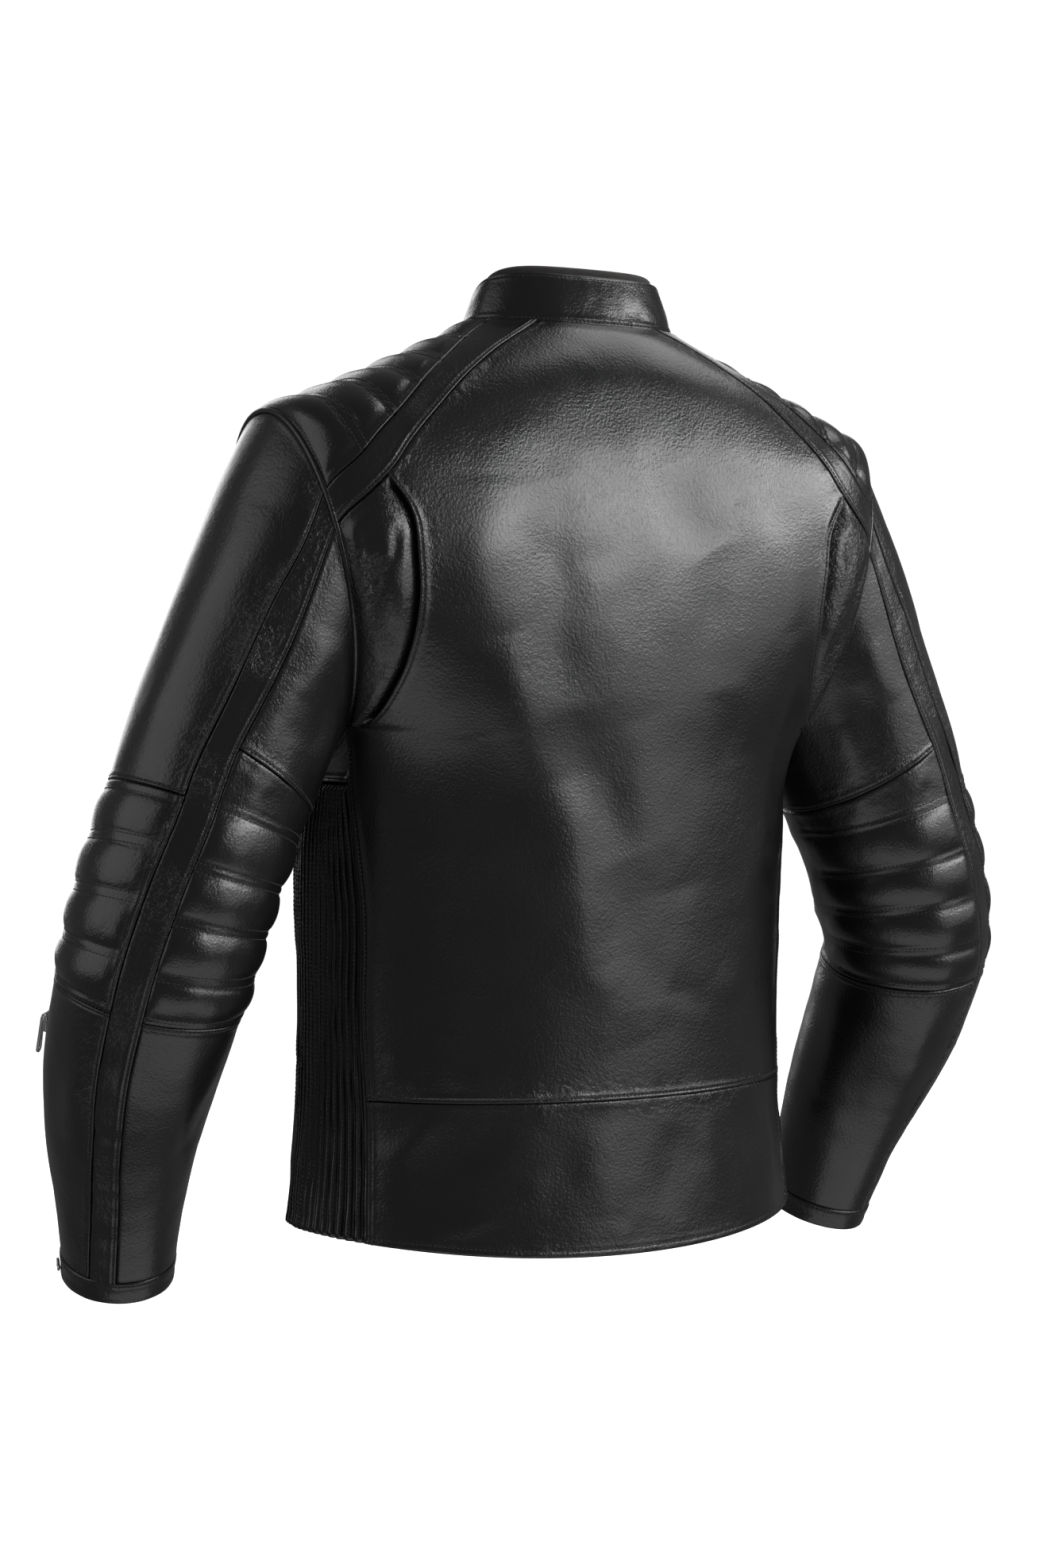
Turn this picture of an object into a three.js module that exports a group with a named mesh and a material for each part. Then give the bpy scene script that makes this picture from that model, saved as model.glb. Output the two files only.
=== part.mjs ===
// Leather riding jacket, hollow as it is worn, with its sleeves slightly bent.
// Millimetres, +Z up. The chest faces -Y and the wearer's left is +X.
// Origin: centre of the neck opening, level with the collar seam at the back.
//
// Every leather, lining and foam panel is a thin bent slab. Its outline is drawn in the
// parameters of one of three forms (torso, sleeve, collar), and the form maps it to space.

import * as THREE from 'three';
import { mergeVertices } from 'three/addons/utils/BufferGeometryUtils.js';

// ---------- driving dimensions ----------

const LEATHER = 1.4;            // panel thickness
const SEAM = 0.9;               // half of the slot left along every seam
const CLOTH = 0.8;              // lining thickness
const FOAM_TOP = 3.6;           // depth at which armour starts below the leather's face
const BACK_LINING_DEPTH = 14;
const FRONT_LINING_DEPTH = 8;
const SLEEVE_LINING_DEPTH = 11.5;
const BACK_PROTECTOR_THICKNESS = 7.5;
const LIMB_ARMOUR_THICKNESS = 5;

const HEM = 9.9;                // torso height parameter at the hem
const WAIST_SEAM = 8.43;
const PATCH_BOTTOM = 5.56;      // lower edge of the leather patch under the arm
const CUFF = 9;                 // sleeve length parameter at the cuff's edge
const CUFF_BAND = 8.72;
const ELBOW = 4.06;
const ELBOW_NOTCH = 0.24;       // extra room in the elbow's crease, so that it can close
const CUFF_ZIP_TOP = 5.45;

const ZIP_HALF_WIDTH = 5.6;     // half the width of tape that shows
const ZIP_SLOT = 6.6;           // half the slot between the panels beside a zip
const TEETH_HALF_WIDTH = 2.8;
const TEETH_HEIGHT = 1.3;

// Centre front line: an arc in the plane X = 0, from the neck to the hem.
const FRONT_TOP = { y: -72, z: -90 };
const FRONT_BOTTOM = { y: -135, z: -640 };
const FRONT_BULGE = 25;

// Torso rings, each a superellipse around the wearer:
// [height parameter, half width, back y, front y (null: on the front arc), middle y,
//  back z, side z, front z, squareness]
const TORSO_RINGS = [
  [0.0, 80, 67, -58, 24, -3, -1, -62, 2.0],
  [0.5, 100, 80, null, 20, -12, -12, -82, 2.1],
  [1.2, 150, 96, null, 16, -38, -36, -112, 2.5],
  [2.0, 205, 105, null, 14, -76, -61, -146, 3.2],
  [2.7, 238, 110, null, 10, -118, -82, -178, 4.0],
  [3.3, 240, 113, null, 2, -160, -128, -206, 4.3],
  [4.0, 224, 114, null, -6, -212, -198, -240, 3.8],
  [4.7, 205, 112, null, -12, -265, -256, -276, 2.9],
  [5.3, 194, 108, null, -15, -312, -306, -316, 2.35],
  [6.2, 192, 105, null, -15, -380, -378, -382, 2.1],
  [7.2, 190, 103, null, -15, -455, -453, -456, 2.05],
  [8.6, 190, 102, null, -15, -560, -556, -556, 2.05],
  [9.9, 198, 107, null, -15, -656, -640, -640, 2.05],
];

// Left sleeve rings: [length parameter, centre x, y, z, tilt from upright, pitch,
//  radius towards the outside of the arm, radius towards its back]
const SLEEVE_RINGS = [
  [0.0, 211, 3, -189, 14, 0, 118, 84],
  [0.6, 226, 6, -217, 23.6, 0, 100, 80],
  [1.3, 242, 9, -251, 34.6, 0, 86, 75],
  [2.1, 259, 11, -290, 48.5, 0, 75.5, 71],
  [3.0, 281, 13, -343, 68, 1, 68, 68],
  [4.0, 303, 12, -405, 76, 4, 67, 67],
  [4.8, 315, 6, -455, 82, 14, 64, 65],
  [5.6, 318, -20, -505, 88, 26, 61, 62],
  [6.6, 315, -48, -555, 93, 28, 55, 56],
  [7.8, 308, -73, -610, 95, 24, 46, 48],
  [9.0, 301, -95, -674, 96, 20, 38, 40],
];
const SLEEVE_LEAN = 0.1;        // how far the armhole's top leans backwards

// The armhole's outline in the torso's parameters: an ellipse.
const ARMHOLE = { angle: 89, angleRadius: 21.7, height: 3.95, heightRadius: 1.34 };
const ARMHOLE_BLEND = 0.4;      // how far the torso is drawn towards the armhole's edge

// Seams of the torso: [height parameter, angle from the back centre in degrees]
const STRIPE_LOWER = [[0, 53.3], [0.44, 53.6], [0.85, 56.8], [1.33, 58.8], [1.79, 60.3],
  [2.5, 62.3], [2.92, 63.3], [3.19, 64.8], [3.56, 68.2]];
const STRIPE_UPPER = [[0, 77.5], [0.46, 74.9], [1.09, 68.8], [1.57, 66.9], [2.08, 66.3],
  [2.52, 66.6], [2.84, 67.3], [3.28, 70.2]];
const YOKE_FRONT = [[0, 103], [0.46, 108], [1.1, 111], [1.6, 112.5], [2.1, 113],
  [2.6, 112.5], [2.95, 110.8], [3.24, 107.4]];
const GUSSET_EDGE = [[2.92, 63.3], [3.17, 59.3], [3.61, 56.8], [4.03, 56.3], [4.38, 57.8],
  [4.74, 61.8], [5.0, 67.3], [5.11, 71]];
const SIDE_BACK = [[5.11, 78.2], [5.57, 77.4], [5.89, 75.4], [6.45, 73.9], [7.84, 73.9],
  [8.43, 72.9], [9.9, 70.8]];
const SIDE_FRONT = [[5.11, 99.9], [5.56, 101], [7.2, 104], [9.9, 106]];

// Seams of the sleeve: [length parameter, angle round the arm in degrees]
// 0 is the outside of the arm, 90 its back, 180 its inside and -90 its front.
const SLEEVE_STRIPE_OUTER = [[0, 60], [0.38, 62.5], [1.11, 60.5], [2.24, 57.5], [2.84, 53.5],
  [3.38, 52.5], [4.02, 48.5], [4.64, 43.8], [5.77, 44.3], [6.39, 46], [7.14, 44.7],
  [7.95, 41], [9, 35]];
const SLEEVE_STRIPE_INNER = [[0, 73], [0.38, 75.5], [0.77, 77.5], [2.01, 76.3], [2.54, 73],
  [3.38, 71.8], [4.06, 68], [4.64, 63.8], [5.22, 62.8], [6.28, 65.5], [7.03, 66.5], [9, 64]];
const SLEEVE_FRONT_SEAM = [[0, -62], [3, -60], [4.5, -52], [5.3, -45], [9, -42]];

const ARMHOLE_MARKS = { upperStripe: 60, lowerStripe: 73, gussetEnd: 150, yokeFront: -58 };

// ---------- small helpers ----------

const { sin, cos, atan2, hypot, abs, sign, exp, sqrt, min, max } = Math;
const rad = THREE.MathUtils.degToRad;
const lerp = THREE.MathUtils.lerp;
const vec = (x, y, z) => new THREE.Vector3(x, y, z);

// A smooth curve through the rows of a table, whose first column is the parameter.
function rowAt(table, parameter) {
  const last = table.length - 1;
  const p = min(max(parameter, table[0][0]), table[last][0]);
  let i = 0;
  while (i < last - 1 && p > table[i + 1][0]) i += 1;
  const slope = (k, c) => {
    if (k === 0) return (table[1][c] - table[0][c]) / (table[1][0] - table[0][0]);
    if (k === last) return (table[k][c] - table[k - 1][c]) / (table[k][0] - table[k - 1][0]);
    const before = table[k][0] - table[k - 1][0];
    const after = table[k + 1][0] - table[k][0];
    const rise = (table[k][c] - table[k - 1][c]) / before;
    const next = (table[k + 1][c] - table[k][c]) / after;
    return (rise * after + next * before) / (before + after);
  };
  const step = table[i + 1][0] - table[i][0];
  const t = (p - table[i][0]) / step;
  const h00 = 2 * t ** 3 - 3 * t ** 2 + 1;
  const h10 = t ** 3 - 2 * t ** 2 + t;
  const h01 = -2 * t ** 3 + 3 * t ** 2;
  const h11 = t ** 3 - t ** 2;
  return table[i].map((value, c) => h00 * value + h10 * step * slope(i, c)
    + h01 * table[i + 1][c] + h11 * step * slope(i + 1, c));
}

const seamAngle = (seam, parameter) => rowAt(seam, parameter)[1];

// The centre front arc: its centre, its radius and its y at a height.
const chord = hypot(FRONT_BOTTOM.y - FRONT_TOP.y, FRONT_BOTTOM.z - FRONT_TOP.z);
const FRONT_RADIUS = chord ** 2 / 8 / FRONT_BULGE + FRONT_BULGE / 2;
const inward = (FRONT_RADIUS - FRONT_BULGE) / chord;
const FRONT_CENTRE = {
  y: (FRONT_TOP.y + FRONT_BOTTOM.y) / 2 - (FRONT_BOTTOM.z - FRONT_TOP.z) * inward,
  z: (FRONT_TOP.z + FRONT_BOTTOM.z) / 2 + (FRONT_BOTTOM.y - FRONT_TOP.y) * inward,
};
const frontY = (z) => FRONT_CENTRE.y - sqrt(FRONT_RADIUS ** 2 - (z - FRONT_CENTRE.z) ** 2);

const torsoRings = TORSO_RINGS.map(([s, a, back, front, middle, zb, zs, zf, n]) => {
  const frontMost = front === null ? frontY(zf) : front;
  return [s, a, back - middle, middle - frontMost, middle, zb, zs, zf, n];
});

// ---------- the three forms ----------
// Each form maps (angle in degrees, length parameter) to a point. Angles on the left
// half are positive.

function torsoBlank(angle, s) {
  const [, a, back, front, middle, zBack, zSide, zFront, n] = rowAt(torsoRings, s);
  const c = cos(rad(angle));
  const b = c > 0 ? back : front;
  const r = (abs(c / b) ** n + abs(sin(rad(angle)) / a) ** n) ** (-1 / n);
  const q = (abs(r * c) / b) ** n;
  return vec(r * sin(rad(angle)), middle + r * c, zSide + ((c > 0 ? zBack : zFront) - zSide) * q);
}

function armholeAt(phi) {
  return [ARMHOLE.angle - ARMHOLE.angleRadius * sin(rad(phi)),
    ARMHOLE.height - ARMHOLE.heightRadius * cos(rad(phi))];
}

// The torso, drawn near each armhole onto the sleeve's first ring, so that they meet.
function torso(angle, s) {
  const point = torsoBlank(angle, s);
  const side = angle < 0 ? -1 : 1;
  const p = (ARMHOLE.angle - abs(angle)) / ARMHOLE.angleRadius;
  const q = (ARMHOLE.height - s) / ARMHOLE.heightRadius;
  const rho = hypot(p, q);
  const phi = THREE.MathUtils.radToDeg(atan2(p, q));
  const weight = rho > 1 ? exp(-(((rho - 1) / ARMHOLE_BLEND) ** 2)) : 1;
  const shift = sleeve(phi, 0).sub(torsoBlank(...armholeAt(phi))).multiplyScalar(weight);
  shift.x *= side;
  return point.add(shift);
}

function sleeve(phi, t) {
  const [, x, y, z, tilt, pitch, outer, back] = rowAt(SLEEVE_RINGS, t);
  const out = vec(sin(rad(tilt)), SLEEVE_LEAN * cos(rad(tilt)), cos(rad(tilt)));
  const rear = vec(0, cos(rad(pitch)), -sin(rad(pitch)));
  return vec(x, y, z).addScaledVector(out, outer * cos(rad(phi)))
    .addScaledVector(rear, back * sin(rad(phi)));
}

const COLLAR_TAPER = 0.17;      // how much narrower the collar is at its top
const COLLAR_BASE_LIFT = 1;
function collar(angle, height) {
  const base = torsoBlank(angle, 0);
  const middle = torsoRings[0][4];
  const narrowing = 1 - COLLAR_TAPER * height / 31;
  return vec(base.x * narrowing, middle + (base.y - middle) * narrowing,
    base.z + COLLAR_BASE_LIFT + height);
}

// Outward normals. The sleeve's angle runs the other way round than the torso's.
function normalOf(form, u, v) {
  const across = form(u + 0.4, v).sub(form(u - 0.4, v));
  const down = form(u, v + 0.01).sub(form(u, v - 0.01));
  const normal = across.cross(down).normalize();
  return form === torso ? normal : normal.negate();
}

function offset(form, u, v, distance) {
  return form(u, v).addScaledVector(normalOf(form, u, v), distance);
}

// ---------- solids ----------

const materials = {
  leather: new THREE.MeshStandardMaterial({ color: 0x141416, roughness: 0.38, metalness: 0 }),
  stretchLeather: new THREE.MeshStandardMaterial({ color: 0x111113, roughness: 0.5, metalness: 0 }),
  collarCloth: new THREE.MeshStandardMaterial({ color: 0x1d1a19, roughness: 0.9, metalness: 0 }),
  lining: new THREE.MeshStandardMaterial({ color: 0x202022, roughness: 0.85, metalness: 0 }),
  armour: new THREE.MeshStandardMaterial({ color: 0x3a3d42, roughness: 0.8, metalness: 0 }),
  zipTape: new THREE.MeshStandardMaterial({ color: 0x0d0d0e, roughness: 0.85, metalness: 0 }),
  steel: new THREE.MeshStandardMaterial({ color: 0xb4b4b8, roughness: 0.28, metalness: 1 }),
};

const jacket = new THREE.Group();

// Leaves a geometry with position only and shared corners, and turns its faces outward.
function closedBody(geometry) {
  const bare = new THREE.BufferGeometry();
  bare.setAttribute('position', geometry.getAttribute('position').clone());
  bare.setIndex(geometry.index ? geometry.index.clone() : null);
  const merged = mergeVertices(bare, 1e-4);
  const at = (i) => vec().fromBufferAttribute(merged.attributes.position, merged.index.getX(i));
  let volume = 0;
  for (let i = 0; i < merged.index.count; i += 3) volume += at(i).dot(at(i + 1).cross(at(i + 2)));
  if (volume < 0) {
    for (let i = 0; i < merged.index.count; i += 3) {
      const first = merged.index.getX(i);
      merged.index.setX(i, merged.index.getX(i + 1));
      merged.index.setX(i + 1, first);
    }
  }
  merged.computeVertexNormals();
  return merged;
}

function add(name, geometry, material) {
  const mesh = new THREE.Mesh(closedBody(geometry), material);
  mesh.name = name;
  jacket.add(mesh);
  return mesh;
}

// The same piece on both sides: as drawn on the left, and mirrored on the right.
function addPair(name, geometry, material) {
  add(`${name}_left`, geometry.clone(), material);
  const mirrored = geometry.clone();
  mirrored.scale(-1, 1, 1);
  add(`${name}_right`, mirrored, material);
}

// A bent slab: place(u, v) gives [form's angle, form's length], u and v from 0 to 1,
// and rise(u, v) gives the height of its outer face above the form.
function slab(form, place, [nu, nv], thickness, rise = () => 0) {
  const geometry = new THREE.BoxGeometry(1, 1, 1, nu, nv, 1);
  const points = geometry.attributes.position;
  for (let i = 0; i < points.count; i += 1) {
    const u = points.getX(i) + 0.5;
    const v = points.getY(i) + 0.5;
    const inner = points.getZ(i) < 0;
    const height = inner ? rise(u, v, true) - thickness : rise(u, v, false);
    const point = offset(form, ...place(u, v), height);
    points.setXYZ(i, point.x, point.y, point.z);
  }
  matchDiagonals(geometry);
  return geometry;
}

// A box splits the cells of its two large faces along opposite diagonals. The inner face
// is split here as the outer one is, so that the two sides of a thin, twisted wall stay apart.
function matchDiagonals(geometry) {
  const { index, groups } = geometry;
  const inner = groups[5];
  for (let i = inner.start; i < inner.start + inner.count; i += 6) {
    const [a, b, c, d] = [0, 1, 4, 2].map((k) => index.getX(i + k));
    [a, b, c, a, c, d].forEach((corner, k) => index.setX(i + k, corner));
  }
}

// A patch between four edges, each a function of 0..1 that gives [angle, length]:
// west and east run along v, and south (v = 0) and north (v = 1) run along u.
// The patch is drawn in by the seam's half width on every side.
function patch(form, { west, east, south, north }, inset = SEAM) {
  const plain = (u, v) => [0, 1].map((k) => (1 - u) * west(v)[k] + u * east(v)[k]
    + (1 - v) * south(u)[k] + v * north(u)[k]
    - (1 - u) * (1 - v) * west(0)[k] - u * (1 - v) * east(0)[k]
    - (1 - u) * v * west(1)[k] - u * v * east(1)[k]);
  const span = (a, b) => form(...a).distanceTo(form(...b));
  return (u, v) => {
    const across = max(span(plain(0, v), plain(1, v)), 4 * inset);
    const along = max(span(plain(u, 0), plain(u, 1)), 4 * inset);
    return plain(lerp(inset / across, 1 - inset / across, u), lerp(inset / along, 1 - inset / along, v));
  };
}

// Edges of a patch: along a seam, along the armhole, and straight between two places.
const alongSeam = (seam, from, to) => (w) => {
  const s = lerp(from, to, w);
  return [seamAngle(seam, s), s];
};
const alongArmhole = (from, to) => (w) => armholeAt(lerp(from, to, w));
const straight = (a, b) => (w) => [lerp(a[0], b[0], w), lerp(a[1], b[1], w)];

// A patch between two lines, each a function that gives the angle at a length.
const between = (form, first, second, from, to, inset = SEAM) => {
  const edge = (line) => (v) => [line(lerp(from, to, v)), lerp(from, to, v)];
  return patch(form, {
    west: edge(first),
    east: edge(second),
    south: straight([first(from), from], [second(from), from]),
    north: straight([first(to), to], [second(to), to]),
  }, inset);
};

// ---------- torso panels ----------

const armholeAngle = (s, half) => {
  const c = min(max((ARMHOLE.height - s) / ARMHOLE.heightRadius, -1), 1);
  return ARMHOLE.angle - half * ARMHOLE.angleRadius * sqrt(1 - c * c);
};

function backEdge(s) {
  if (s < GUSSET_EDGE[0][0]) return seamAngle(STRIPE_LOWER, s);
  if (s < GUSSET_EDGE.at(-1)[0]) return seamAngle(GUSSET_EDGE, s);
  return seamAngle(SIDE_BACK, s);
}

function frontEdge(s) {
  if (s < YOKE_FRONT.at(-1)[0]) return seamAngle(YOKE_FRONT, s);
  if (s < SIDE_FRONT[0][0]) return armholeAngle(s, -1);
  return seamAngle(SIDE_FRONT, s);
}

// The angle at which the front lies a given distance from its centre line.
const besideFrontZip = (distance) => (s) => {
  const depth = rowAt(torsoRings, s)[3];
  return 180 - THREE.MathUtils.radToDeg(atan2(distance, depth));
};

const NECK = 0.04;

function addTorsoPanels() {
  add('back_panel', slab(torso, between(torso, (s) => -backEdge(s), backEdge, NECK, WAIST_SEAM),
    [14, 18], LEATHER), materials.leather);
  add('back_waist_panel', slab(torso, between(torso, (s) => -backEdge(s), backEdge, WAIST_SEAM, HEM),
    [14, 3], LEATHER), materials.leather);

  const lowerEnd = STRIPE_LOWER.at(-1)[0];
  const upperEnd = STRIPE_UPPER.at(-1)[0];
  addPair('shoulder_stripe', slab(torso, patch(torso, {
    west: alongSeam(STRIPE_LOWER, NECK, lowerEnd),
    east: alongSeam(STRIPE_UPPER, NECK, upperEnd),
    south: straight([seamAngle(STRIPE_LOWER, NECK), NECK], [seamAngle(STRIPE_UPPER, NECK), NECK]),
    north: alongArmhole(ARMHOLE_MARKS.lowerStripe, ARMHOLE_MARKS.upperStripe),
  }), [2, 10], LEATHER), materials.leather);

  addPair('shoulder_pad', slab(torso, patch(torso, {
    west: alongSeam(STRIPE_UPPER, NECK, upperEnd),
    east: alongSeam(YOKE_FRONT, NECK, YOKE_FRONT.at(-1)[0]),
    south: straight([seamAngle(STRIPE_UPPER, NECK), NECK], [seamAngle(YOKE_FRONT, NECK), NECK]),
    north: alongArmhole(ARMHOLE_MARKS.upperStripe, ARMHOLE_MARKS.yokeFront),
  }), [8, 8], LEATHER), materials.leather);

  addPair('action_gusset', slab(torso, patch(torso, {
    west: alongSeam(GUSSET_EDGE, GUSSET_EDGE[0][0], GUSSET_EDGE.at(-1)[0]),
    east: alongArmhole(ARMHOLE_MARKS.lowerStripe, ARMHOLE_MARKS.gussetEnd),
    south: alongSeam(STRIPE_LOWER, GUSSET_EDGE[0][0], lowerEnd),
    north: straight([GUSSET_EDGE.at(-1)[1], GUSSET_EDGE.at(-1)[0]], armholeAt(ARMHOLE_MARKS.gussetEnd)),
  }), [4, 8], LEATHER), materials.leather);

  addPair('underarm_patch', slab(torso, patch(torso, {
    west: alongSeam(SIDE_BACK, SIDE_BACK[0][0], PATCH_BOTTOM),
    east: alongSeam(SIDE_FRONT, SIDE_FRONT[0][0], PATCH_BOTTOM),
    south: alongArmhole(ARMHOLE_MARKS.gussetEnd, 360 - ARMHOLE_MARKS.gussetEnd),
    north: straight([seamAngle(SIDE_BACK, PATCH_BOTTOM), PATCH_BOTTOM],
      [seamAngle(SIDE_FRONT, PATCH_BOTTOM), PATCH_BOTTOM]),
  }), [5, 3], LEATHER), materials.leather);

  const backSide = (s) => seamAngle(SIDE_BACK, s);
  const frontSide = (s) => seamAngle(SIDE_FRONT, s);
  addPair('side_stretch_panel', slab(torso, between(torso, backSide, frontSide, PATCH_BOTTOM, HEM),
    [4, 8], LEATHER), materials.stretchLeather);

  addPair('front_panel', slab(torso, between(torso, frontEdge, besideFrontZip(ZIP_SLOT - SEAM), NECK, HEM),
    [7, 22], LEATHER), materials.leather);
}

// ---------- collar ----------

const COLLAR_HEIGHT = 31;
const COLLAR_LINING_HEIGHT = 38;
const COLLAR_LINING_DEPTH = 2.6;
const COLLAR_END = 174.5;        // angle of the collar's front ends
const TAB = { start: 161, end: 201, stud: 167, low: 9, high: 26, thickness: 2, rise: 2.6 };

function addCollar() {
  const band = (from, to) => (u, v) => [lerp(-COLLAR_END, COLLAR_END, u), lerp(from, to, v)];
  add('collar_outer', slab(collar, band(SEAM, COLLAR_HEIGHT), [28, 3], LEATHER), materials.leather);
  add('collar_lining', slab(collar, band(SEAM, COLLAR_LINING_HEIGHT), [28, 3], CLOTH,
    () => -COLLAR_LINING_DEPTH), materials.collarCloth);

  const strap = (u, v) => [lerp(TAB.start, TAB.end, u), lerp(TAB.low, TAB.high, v)];
  add('collar_tab', slab(collar, strap, [8, 2], TAB.thickness, () => TAB.rise), materials.leather);
  const height = (TAB.low + TAB.high) / 2;
  const centre = offset(collar, TAB.stud, height, TAB.rise + STUD.thickness / 2 + 0.4);
  add('collar_stud', studGeometry(centre, normalOf(collar, TAB.stud, height)), materials.steel);
}

// ---------- zips ----------

// A tape with a raised chain of teeth along its middle. centre(v) gives the place of the
// chain's centre line, and anglePerMillimetre the angle that one millimetre takes there.
function zipStrip(form, centre, anglePerMillimetre, rows, lift = 0) {
  const columns = [-ZIP_HALF_WIDTH, -TEETH_HALF_WIDTH, -TEETH_HALF_WIDTH + 0.6, 0,
    TEETH_HALF_WIDTH - 0.6, TEETH_HALF_WIDTH, ZIP_HALF_WIDTH];
  const count = columns.length - 1;
  const place = (u, v) => {
    const [angle, along] = centre(v);
    return [angle + columns[Math.round(u * count)] * anglePerMillimetre(along), along];
  };
  const rise = (u, v, inner) => {
    const onTeeth = abs(columns[Math.round(u * count)]) < TEETH_HALF_WIDTH - 0.3;
    return onTeeth && !inner ? lift + TEETH_HEIGHT : lift;
  };
  return slab(form, place, [count, rows], CLOTH, rise);
}

const radPerMillimetre = (radius) => THREE.MathUtils.radToDeg(1 / radius);
const frontAnglePerMillimetre = (s) => radPerMillimetre(rowAt(torsoRings, s)[3]);
const sleeveAnglePerMillimetre = (t) => radPerMillimetre(rowAt(SLEEVE_RINGS, t)[7]);

// A frame on a form: its place, its outward normal and the way down along the zip.
function zipFrame(form, angle, along, ahead, height) {
  const normal = normalOf(form, angle, along);
  const start = form(angle, along);
  const down = form(...ahead).sub(start);
  down.addScaledVector(normal, -down.dot(normal)).normalize();
  const across = vec().crossVectors(down, normal);
  const basis = new THREE.Matrix4().makeBasis(across, down, normal);
  return basis.setPosition(start.addScaledVector(normal, height));
}

const SLIDER = { width: 9.5, length: 15, thickness: 2.6, bevel: 0.5, rise: 2.3, corner: 2.4 };
const SLIDER_NOSE = 0.62;       // the lower end's width over the upper end's
const PULL = { top: 4.2, bottom: 7, length: 27, thickness: 1.5, hole: 1.7, gap: 2.2, pivot: 3 };
const TONGUE = { width: 5, length: 20 };

// The slider's outer plate, narrower at its lower end. With a tongue it is the one-piece
// kind, whose handle doesn't turn.
function sliderGeometry(tongue) {
  const half = SLIDER.width / 2;
  const end = SLIDER.length - SLIDER.corner;
  const outline = new THREE.Shape();
  outline.moveTo(-half, 0);
  outline.quadraticCurveTo(-half, -SLIDER.corner, -half + SLIDER.corner, -SLIDER.corner);
  outline.lineTo(half - SLIDER.corner, -SLIDER.corner);
  outline.quadraticCurveTo(half, -SLIDER.corner, half, 0);
  outline.lineTo(half * SLIDER_NOSE, end);
  if (tongue) {
    outline.lineTo(TONGUE.width / 2, end);
    outline.lineTo(TONGUE.width / 2, end + TONGUE.length);
    outline.absarc(0, end + TONGUE.length, TONGUE.width / 2, 0, Math.PI, false);
    outline.lineTo(-TONGUE.width / 2, end);
  }
  outline.lineTo(-half * SLIDER_NOSE, end);
  outline.closePath();
  return new THREE.ExtrudeGeometry(outline, {
    depth: SLIDER.thickness - 2 * SLIDER.bevel,
    bevelSize: SLIDER.bevel,
    bevelThickness: SLIDER.bevel,
    bevelSegments: 1,
    curveSegments: 4,
  });
}

// The puller: a slim tongue that widens downwards, with round ends and an eye.
function pullGeometry(length) {
  const end = length - PULL.bottom / 2;
  const outline = new THREE.Shape();
  outline.moveTo(-PULL.top / 2, 0);
  outline.absarc(0, 0, PULL.top / 2, Math.PI, 2 * Math.PI, false);
  outline.lineTo(PULL.bottom / 2, end);
  outline.absarc(0, end, PULL.bottom / 2, 0, Math.PI, false);
  outline.closePath();
  const eye = new THREE.Path();
  eye.absarc(0, end, PULL.hole, 0, 2 * Math.PI, true);
  outline.holes.push(eye);
  return new THREE.ExtrudeGeometry(outline, {
    depth: PULL.thickness,
    bevelEnabled: false,
    curveSegments: 6,
  });
}

const raised = (frame, downwards, height) => frame.clone()
  .multiply(new THREE.Matrix4().makeTranslation(0, downwards, height));

const MAIN_ZIP = { top: 0.35, bottom: 9.82, slider: 0.8, pullLength: 33 };
const CUFF_SLIDER = 5.62;
const POCKET = { top: [146, 7.35], bottom: [131, 9.05], slider: 0.05, lift: 1.2, ease: 0.8 };
const PULL_HEIGHT = SLIDER.rise + SLIDER.thickness - SLIDER.bevel + PULL.gap;

function addSliderAndPull(frame, name, pullLength, adder) {
  const slider = sliderGeometry(false).applyMatrix4(raised(frame, 0, SLIDER.rise + SLIDER.bevel));
  const pull = pullGeometry(pullLength).applyMatrix4(raised(frame, PULL.pivot, PULL_HEIGHT));
  adder(`${name}_slider`, slider, materials.steel);
  adder(`${name}_pull`, pull, materials.steel);
}

function addZips() {
  const front = (v) => [180, lerp(MAIN_ZIP.top, MAIN_ZIP.bottom, v)];
  add('main_zip', zipStrip(torso, front, frontAnglePerMillimetre, 18), materials.zipTape);
  const top = MAIN_ZIP.slider;
  const mainFrame = zipFrame(torso, 180, top, [180, top + 0.3], 0);
  addSliderAndPull(mainFrame, 'main_zip', MAIN_ZIP.pullLength, add);

  const onCuffZip = (t) => [seamAngle(SLEEVE_FRONT_SEAM, t), t];
  const cuffZip = (v) => onCuffZip(lerp(CUFF_ZIP_TOP, CUFF_BAND - 0.02, v));
  addPair('cuff_zip', zipStrip(sleeve, cuffZip, sleeveAnglePerMillimetre, 10), materials.zipTape);
  const cuffFrame = zipFrame(sleeve, ...onCuffZip(CUFF_SLIDER), onCuffZip(CUFF_SLIDER + 0.4), 0);
  addSliderAndPull(cuffFrame, 'cuff_zip', PULL.length, addPair);

  const pocket = straight(POCKET.top, POCKET.bottom);
  addPair('pocket_zip', zipStrip(torso, pocket, frontAnglePerMillimetre, 8, POCKET.lift),
    materials.zipTape);
  const pocketFrame = zipFrame(torso, ...pocket(POCKET.slider), pocket(POCKET.slider + 0.15),
    POCKET.lift + SLIDER.rise + SLIDER.bevel + POCKET.ease);
  addPair('pocket_zip_slider', sliderGeometry(true).applyMatrix4(pocketFrame), materials.steel);
}

// ---------- sleeves ----------

const stripeOuter = (t) => seamAngle(SLEEVE_STRIPE_OUTER, t);
const stripeInner = (t) => seamAngle(SLEEVE_STRIPE_INNER, t);
const frontSeam = (t) => seamAngle(SLEEVE_FRONT_SEAM, t);
const innerFrontSeam = (t) => frontSeam(t) + 360;

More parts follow.
